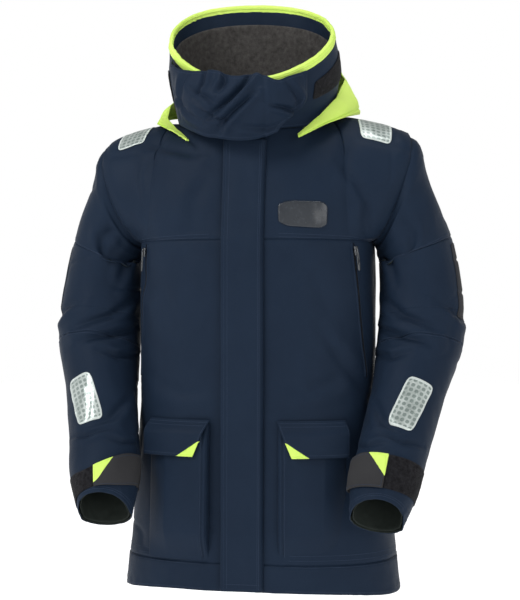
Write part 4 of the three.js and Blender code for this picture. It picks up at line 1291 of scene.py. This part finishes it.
def build_collar():
    def band(low_at, below):
        """All round the collar, from a height at each degree to a line below the rim."""
        def shape(u, v):
            degrees = lerp(*COLLAR_ARC, u)
            return collar(degrees, lerp(low_at(degrees), below_rim(below, degrees), v))
        return shape
    shell = Cloth(band(np.zeros_like, RIM_WIDTH - SEAM_LAP), collar_core, collar_folds)
    lines = [level(0.04, 0.01, 0.99), level(0.95, 0.01, 0.99)]
    parts = sewn(shell, 210, 44, lines, thick=2.2)
    make("collar_shell_cloth", "collar_shell", parts, shell)

    def lining_folds(points, normals, u, v):
        degrees = lerp(*COLLAR_ARC, u)
        soft = 3.0 * swell(vec(degrees * 2.2, v * 60, 0), (34, 90, 60), 43)
        soft = soft * smooth(0, 0.15, v) * smooth(1, 0.8, v)
        return collar_folds(points, normals, u, v) + soft
    lining = Cloth(band(lambda a: 0.03 + 0 * a, FACING_WIDTH - SEAM_LAP), collar_core, lining_folds,
                   -5.4)
    make("collar_lining_cloth", "collar_lining", [sheet_part(lining, 190, 40, 2.4, looks=ONE_LOOK)],
         lining, finish=([FLEECE], "fleece"))
    facing = Cloth(band(lambda a: below_rim(FACING_WIDTH, a), RIM_WIDTH - SEAM_LAP), collar_core,
                   lambda p, n, u, v: collar_folds(p, n, u, v) + 0.5 * swell(p, 20, 44), -4.4)
    parts = sewn(facing, 200, 12, [level(0.12, 0.01, 0.99)], 1, thick=2.0, looks=ONE_LOOK)
    make("collar_facing_cloth", "collar_facing", parts, facing,
         finish=NAVY_CLOTH)

    def rim_folds(points, normals, u, v):
        gathers = 0.8 * swell(vec(lerp(*COLLAR_ARC, u) * DEGREE_MM, v * 8, 0), (6.5, 30, 30), 45)
        seam = -0.9 * bell(v - 0.52, 0.06) - 0.5 * bell(v - 0.8, 0.05)
        belly = 1.6 * np.sin(np.pi * v)
        return collar_folds(points, normals, u, v) + gathers * smooth(0.0, 0.2, v) + seam + belly
    rim = Cloth(band(lambda a: below_rim(RIM_WIDTH, a), 0.0), collar_core, rim_folds, 0.6)
    lines = [level(v, 0.01, 0.99) for v in (0.52, 0.8)]
    parts = sewn(rim, 420, 16, lines, 1, thick=7.0, looks=ONE_LOOK, edge=0.6)
    make("collar_rim_band", "collar_rim", parts, finish=YELLOW_CLOTH)

    def on_shell(degrees, v):
        top = below_rim(RIM_WIDTH - SEAM_LAP, np.array(float(degrees)))
        return (degrees - COLLAR_ARC[0]) / (COLLAR_ARC[1] - COLLAR_ARC[0]), v / top
    for node, cells, seed, corners in LOOP_PATCHES:
        corners = [on_shell(*corner) for corner in corners]
        patch = laid_on(shell, corners, 1.6, ripple(0.4, 5, seed), 0.05)
        make(f"{node}_tape", node, [sheet_part(patch, *cells, 1.4, looks=ONE_LOOK)], finish=LOOP)


def build_face_guard():
    def where(u, v):
        end = GUARD_ARC[1] - 6 - 20 * smooth(0.5, 0.0, v)
        degrees = lerp(GUARD_ARC[0], end, u)
        top = 0.90 + 0.15 * smooth(-131, -114, degrees) * smooth(-62, -84, degrees)
        scallops = 0.035 * np.sin(rad(degrees * 13))
        top = top + scallops * smooth(-135, -118, degrees) * smooth(-50, -66, degrees)
        return degrees, lerp(0.0, 1.0, v) * top + 0.03 * smooth(0.8, 1, u) * (1 - v)

    def folds(points, normals, u, v):
        degrees, height = where(u, v)
        x, z = degrees * DEGREE_MM, height * GUARD_MM
        rise = 3.0 * swell(points, (42, 42, 60), 51) + 1.2 * swell(points, (18, 18, 26), 52)
        for path, *sizes in GUARD_CREASES:
            rise = rise + crease_rise(x, z, [(a * DEGREE_MM, b * GUARD_MM) for a, b in path],
                                      *sizes)
        gathers = 1.6 * swell(vec(x, z * 0.25, 0), (9, 30, 30), 53) * smooth(0.75, 1.0, v)
        seam = -1.3 * bell(degrees + 73.5, 0.9) + 0.9 * bell(degrees + 71, 1.4)
        root = smooth(0.0, 0.07, u)
        rise = (rise + gathers + seam) * root - 7.0 * (1 - root)
        return rise - 2.7 * smooth(0.5, 1.0, v) * bell(degrees + 82, 14)
    cloth = Cloth(lambda u, v: guard(*where(u, v)), collar_core, folds, 11.0)
    lines = [level(0.05, 0.03, 0.97), level(0.955, 0.04, 0.97), [(0.965, 0.06), (0.975, 0.94)]]
    parts = sewn(cloth, 130, 84, lines, thick=2.2)
    hinge = ("root", "face_guard", (-139, -92, 25), (-114, -125, 25))
    make("face_guard_cloth", "face_guard", parts, cloth,
         moves_with=hinge)


def build_hood():
    def cowl_shape(u, v):
        degrees = lerp(-HOOD_WING, HOOD_WING, u)
        point = cowl(degrees, v)
        point[..., 2] -= 36 * v * bell(degrees + 92, 36) + 6 * (1 - v) * bell(degrees + 102, 24)
        return point

    def cowl_folds(points, normals, u, v):
        degrees = np.abs(lerp(-HOOD_WING, HOOD_WING, u))
        fine = 1.8 * swell(points, (50, 50, 26), 61) + 0.8 * swell(points, (20, 20, 14), 62)
        rolled = -1.6 * bell(v - 0.16, 0.03) + 1.2 * bell(v - 0.08, 0.05)
        return fine * smooth(140, 120, degrees) + rolled
    shell = Cloth(cowl_shape, lambda p: np.zeros_like(p) + np.array([0, -20, -30.0]), cowl_folds)
    lines = [level(v, 0.03, 0.97) for v in (0.16, 0.22, 0.93)]
    parts = sewn(shell, 210, 40, lines, 1, thick=2.0, looks=ONE_LOOK)
    make("hood_cowl_cloth", "hood_cowl", parts, shell,
         finish=YELLOW_CLOTH)

    def crown_piece(name, node, arc, falls, thick, finish, on, row_count, lines):
        def folds(points, normals, u, v):
            ends = smooth(0, 0.08, u) * smooth(1, 0.92, u)
            pleats = 3.0 * swell(points, (26, 40, 120), 63) * ends
            return pleats + 1.2 * swell(points, (14, 20, 30), 64) * ends

        def shape(u, v):
            fall = lerp(*falls, v)
            tucked = 1 - 0.55 * np.clip(-fall, 0, 1)
            return crown(lerp(*arc, u), fall) * vec(tucked, 1, 1)
        cloth = Cloth(shape, body_core, folds)
        parts = sewn(cloth, 110, row_count, lines, 1, thick=thick, looks=ONE_LOOK)
        make(name, node, parts, cloth, finish=finish, moves_with=on)
    across_hinge = ("root", "hood", (0, 163, -22), (0, 190, -62))
    crown_piece("hood_crown_cloth", "hood_crown", CROWN_ARC, (CROWN_START, BRIM_FALL), 2.0,
                YELLOW_CLOTH, across_hinge, 60, [level(0.97), [(0.5, 0.02), (0.5, 0.97)]])
    crown_piece("hood_brim_cloth", "hood_brim", BRIM_ARC, (BRIM_FALL, 1.0), 3.4,
                NAVY_CLOTH, "hood", 12, [level(0.15), level(0.85)])


# ------------------------------------------------------------------ sleeve trim
TAB_STATIONS, TAB_TIP, TAB_CORNER, TAB_SHARE = (6.62, 7.36), 90.0, 30.0, 0.62


def build_sleeve_trim(label, side):
    cloth = sleeve_cloth(side, (0, LAST))

    def on(degrees, station):
        return (degrees - SLEEVE_ARC[0]) / (SLEEVE_ARC[1] - SLEEVE_ARC[0]), station / LAST

    def cuff(degrees, station):
        """The cuff's pieces sit lower on the outer side."""
        turned = smooth(180, 60, degrees) * smooth(-170, -60, degrees)
        return on(degrees, station + (0.08 if side > 0 else 0.52) * turned)
    forearm = f"forearm_{label}"
    build_reflector(f"forearm_reflector_film_{label}", cloth,
                    [on(106, 5.92), on(62, 6.05), on(43, 5.05), on(90, 4.93)],
                    f"forearm_reflector_{label}", forearm)
    panel = laid_on(cloth, [on(-46, 3.5), on(24, 3.5), on(20, 2.12), on(-44, 2.12)], 1.0, None,
                    0.05)
    lines = [[(0.04, 0.03), (0.04, 0.97), (0.96, 0.97), (0.96, 0.03)]]
    sleeve_to_forearm = (f"sleeve_{label}", forearm, *mirrored(ELBOW_BLEND, side))
    make(f"elbow_panel_cloth_{label}", f"elbow_panel_{label}",
         sewn(panel, 46, 60, lines, 1, thick=0.9, looks=ONE_LOOK), panel,
         finish=CHARCOAL_CLOTH, moves_with=sleeve_to_forearm)
    loop = Cloth(lambda u, v: cloth.at(*cuff(lerp(203.0, -24.0, u), lerp(6.61, 7.34, v)), 1.4)[0],
                 cloth.core,
                 ripple(0.35, 5, 71))
    make(f"cuff_loop_tape_{label}", f"cuff_loop_{label}",
         [sheet_part(loop, 120, 16, 1.2, looks=ONE_LOOK)], finish=LOOP, moves_with=forearm)
    lining = (6.2, 7.97)
    outer_folds = sleeve_folds(side, lining)

    def lining_folds(points, normals, u, v):
        loose = swell(vec(u * 300, v * 90, 0), (26, 50, 50), 72) * np.sin(2 * np.pi * u) ** 2
        return outer_folds(points, normals, u, v) + 1.6 * loose * smooth(1, 0.8, v)
    inside = Cloth(sleeve_shape(side, lining), sleeve_core(side), lining_folds, -5.2)
    make(f"cuff_lining_cloth_{label}", f"cuff_lining_{label}",
         [sheet_part(inside, 100, 40, 1.2, wrap=True, looks=ONE_LOOK)], inside,
         finish=([LINING], "lining"), moves_with=forearm)
    build_cuff_tab(label, side, cloth, cuff)


def build_cuff_tab(label, side, cloth, on):
    low, high = TAB_STATIONS

    def corner(row):
        return TAB_CORNER * np.clip(1 - row / TAB_SHARE, 0, 1)

    def tab_shape(u, v):
        degrees = lerp(181.0, TAB_TIP + corner(v), u)
        a, b = on(degrees, lerp(low, high, v))
        return cloth.at(a, b, 5.4 - 3.4 * smooth(0.12, 0.0, u) + 0.7 * np.sin(3 * np.pi * u))[0]
    core = sleeve_core(side)
    tab = Cloth(tab_shape, core, ripple(0.5, 18, 73))
    lines = [level(0.06, 0.1, 0.97), level(0.94, 0.1, 0.97), [(0.97, 0.5), (0.97, 0.94)]]
    parts = sewn(tab, 60, 30, lines, 1, thick=2.4, looks=ONE_LOOK)
    hinge = (f"forearm_{label}", f"cuff_tab_{label}",
             *mirrored(((sleeve(np.array(181.0), np.array(7.0)) + [-6, 0, 0]),
                        sleeve(np.array(166.0), np.array(7.0))), side))
    make(f"cuff_tab_cloth_{label}", f"cuff_tab_{label}", parts, tab,
         finish=CHARCOAL_CLOTH, moves_with=hinge)

    def tip_shape(u, v):
        row = v * TAB_SHARE
        degrees = lerp(TAB_TIP + corner(row), TAB_TIP, u)
        a, b = on(degrees, lerp(low, high, row))
        return cloth.at(a, b, 5.3)[0]
    tip = Cloth(tip_shape, core, ripple(0.3, 12, 74))
    lines = [[(0.15, 0.08), (0.88, 0.08), (0.88, 0.8)]]
    parts = sewn(tip, 16, 20, lines, 1, thick=2.2, looks=ONE_LOOK)
    make(f"cuff_tab_tip_{label}", f"cuff_tab_corner_{label}", parts, finish=YELLOW_CLOTH,
         moves_with=f"cuff_tab_{label}")


# ------------------------------------------------------------------ badge, films and hang loop
def build_trim():
    for label, side in SIDES:
        yoke = Cloth(lambda u, v, s=side: front_yoke(u, v, s), yoke_core, yoke_folds(side))
        corners = [(0.715, 0.77), (0.885, 0.745), (0.905, 0.985), (0.735, 0.985)]
        build_reflector(f"shoulder_reflector_film_{label}", yoke, corners,
                        f"shoulder_reflector_{label}", "root", 1.4)
        if side > 0:
            badge = laid_on(yoke, [(0.12, 0.13), (0.40, 0.13), (0.41, 0.35), (0.12, 0.35)], 2.3,
                            None, 0.16)
            make("chest_badge_print", "chest_badge",
                 [sheet_part(badge, 40, 24, 0.6, looks=ONE_LOOK)],
                 finish=([GLOSS_PRINT], "print_black"))
    path = [(-28, 72, -18), (-28, 72, -8), (-27.5, 72, -1), (-25, 72, 2), (-15, 72, 2), (0, 72, 2),
            (15, 72, 2),
            (25, 72, 2), (27.5, 72, -1), (28, 72, -8), (28, 72, -18)]
    points, _ = resample(path, 1.0)
    make("hang_loop_tape", "hang_loop",
         [tube(points, np.tile([0.0, 1.0, 0.0], (len(points), 1)), 1.9, 0, 10, 0.9)],
         finish=([NAVY], "navy_shell"))


# ------------------------------------------------------------------ camera, light and floor
CAMERA_AZIMUTH, CAMERA_DISTANCE, CAMERA_HEIGHT = 10.0, 2.4, -0.344
AIM_OFFSET, SENSOR_MM, LENS_MM = 0.0036, 24.0, 53.04
FLOOR_Z, FLOOR_RADIUS, FLOOR_GLOW = -1.05, 9.0, 0.62
LIGHT_AIM = (0, -0.07, -0.35)
LIGHTS = [("key", (-1.7, -2.2, 1.5), 1.2, 46), ("fill", (1.9, -2.4, 0.4), 1.6, 12),
          ("top", (0.2, -0.4, 2.2), 1.4, 24)]      # name, place, size in metres, power in watts


def build_camera():
    azimuth = math.radians(CAMERA_AZIMUTH)
    right = np.array([math.cos(azimuth), math.sin(azimuth), 0])
    aim = np.array([0, place(np.zeros(3))[1], CAMERA_HEIGHT]) + AIM_OFFSET * right
    data = bpy.data.cameras.new("camera")
    data.sensor_fit, data.sensor_width, data.lens = "AUTO", SENSOR_MM, LENS_MM
    data.clip_start, data.clip_end = 0.05, 60
    camera = bpy.data.objects.new("camera", data)
    camera.location = aim + CAMERA_DISTANCE * np.array([math.sin(azimuth), -math.cos(azimuth), 0])
    camera.rotation_euler = (math.radians(90), 0, azimuth)
    bpy.context.scene.collection.objects.link(camera)
    bpy.context.scene.camera = camera


def area_light(name, location, size, power):
    data = bpy.data.lights.new(name, "AREA")
    data.shape, data.size, data.energy = "DISK", size, power
    light = bpy.data.objects.new(name, data)
    light.location = location
    light.visible_camera = False
    direction = Vector(LIGHT_AIM) - Vector(location)
    light.rotation_euler = direction.to_track_quat("-Z", "Y").to_euler()
    bpy.context.scene.collection.objects.link(light)


def build_stage():
    """A pale floor below the jacket, in a white studio that is darker overhead and below."""
    sides = 96
    turns = [2 * math.pi * k / sides for k in range(sides)]
    verts = [(FLOOR_RADIUS * math.cos(a), FLOOR_RADIUS * math.sin(a), FLOOR_Z) for a in turns]
    mesh = bpy.data.meshes.new("floor")
    mesh.from_pydata(verts, [], [list(range(sides))])
    floor = bpy.data.objects.new("floor", mesh)
    bpy.context.scene.collection.objects.link(floor)
    tree = Tree(bpy.data.materials.new("floor"))
    grain = tree.noise(tree.coords("Object"), 3.0)
    mesh.materials.append(tree.finish({
        "Base Color": tree.mix(grain, (0.93, 0.93, 0.93), (0.97, 0.97, 0.97)), "Roughness": 0.9,
        "Specular IOR Level": 0.1, "Emission Color": (1, 1, 1), "Emission Strength": FLOOR_GLOW}))
    world = bpy.data.worlds.new("studio")
    tree = Tree(world)
    split = tree.add("ShaderNodeSeparateXYZ")
    tree.feed(split.inputs[0], tree.coords("Generated"))
    height = tree.math("ABSOLUTE", split.outputs["Z"], 0.0)
    tree.finish({"Strength": tree.ramp(height, 0.22, 0.55, 1.0, 0.30), "Color": (1, 1, 1)},
                "Background")
    bpy.context.scene.world = world
    bpy.context.scene.view_settings.view_transform = "Standard"
    for light in LIGHTS:
        area_light(*light)


build_camera()
build_stage()
build_body()
build_front_closure()
build_collar()
build_face_guard()
build_hood()
build_trim()
for label, side in SIDES:
    build_sleeve(label, side)
    build_chest_zip(label, side)
    build_cargo_pocket(label, side)
    build_sleeve_trim(label, side)
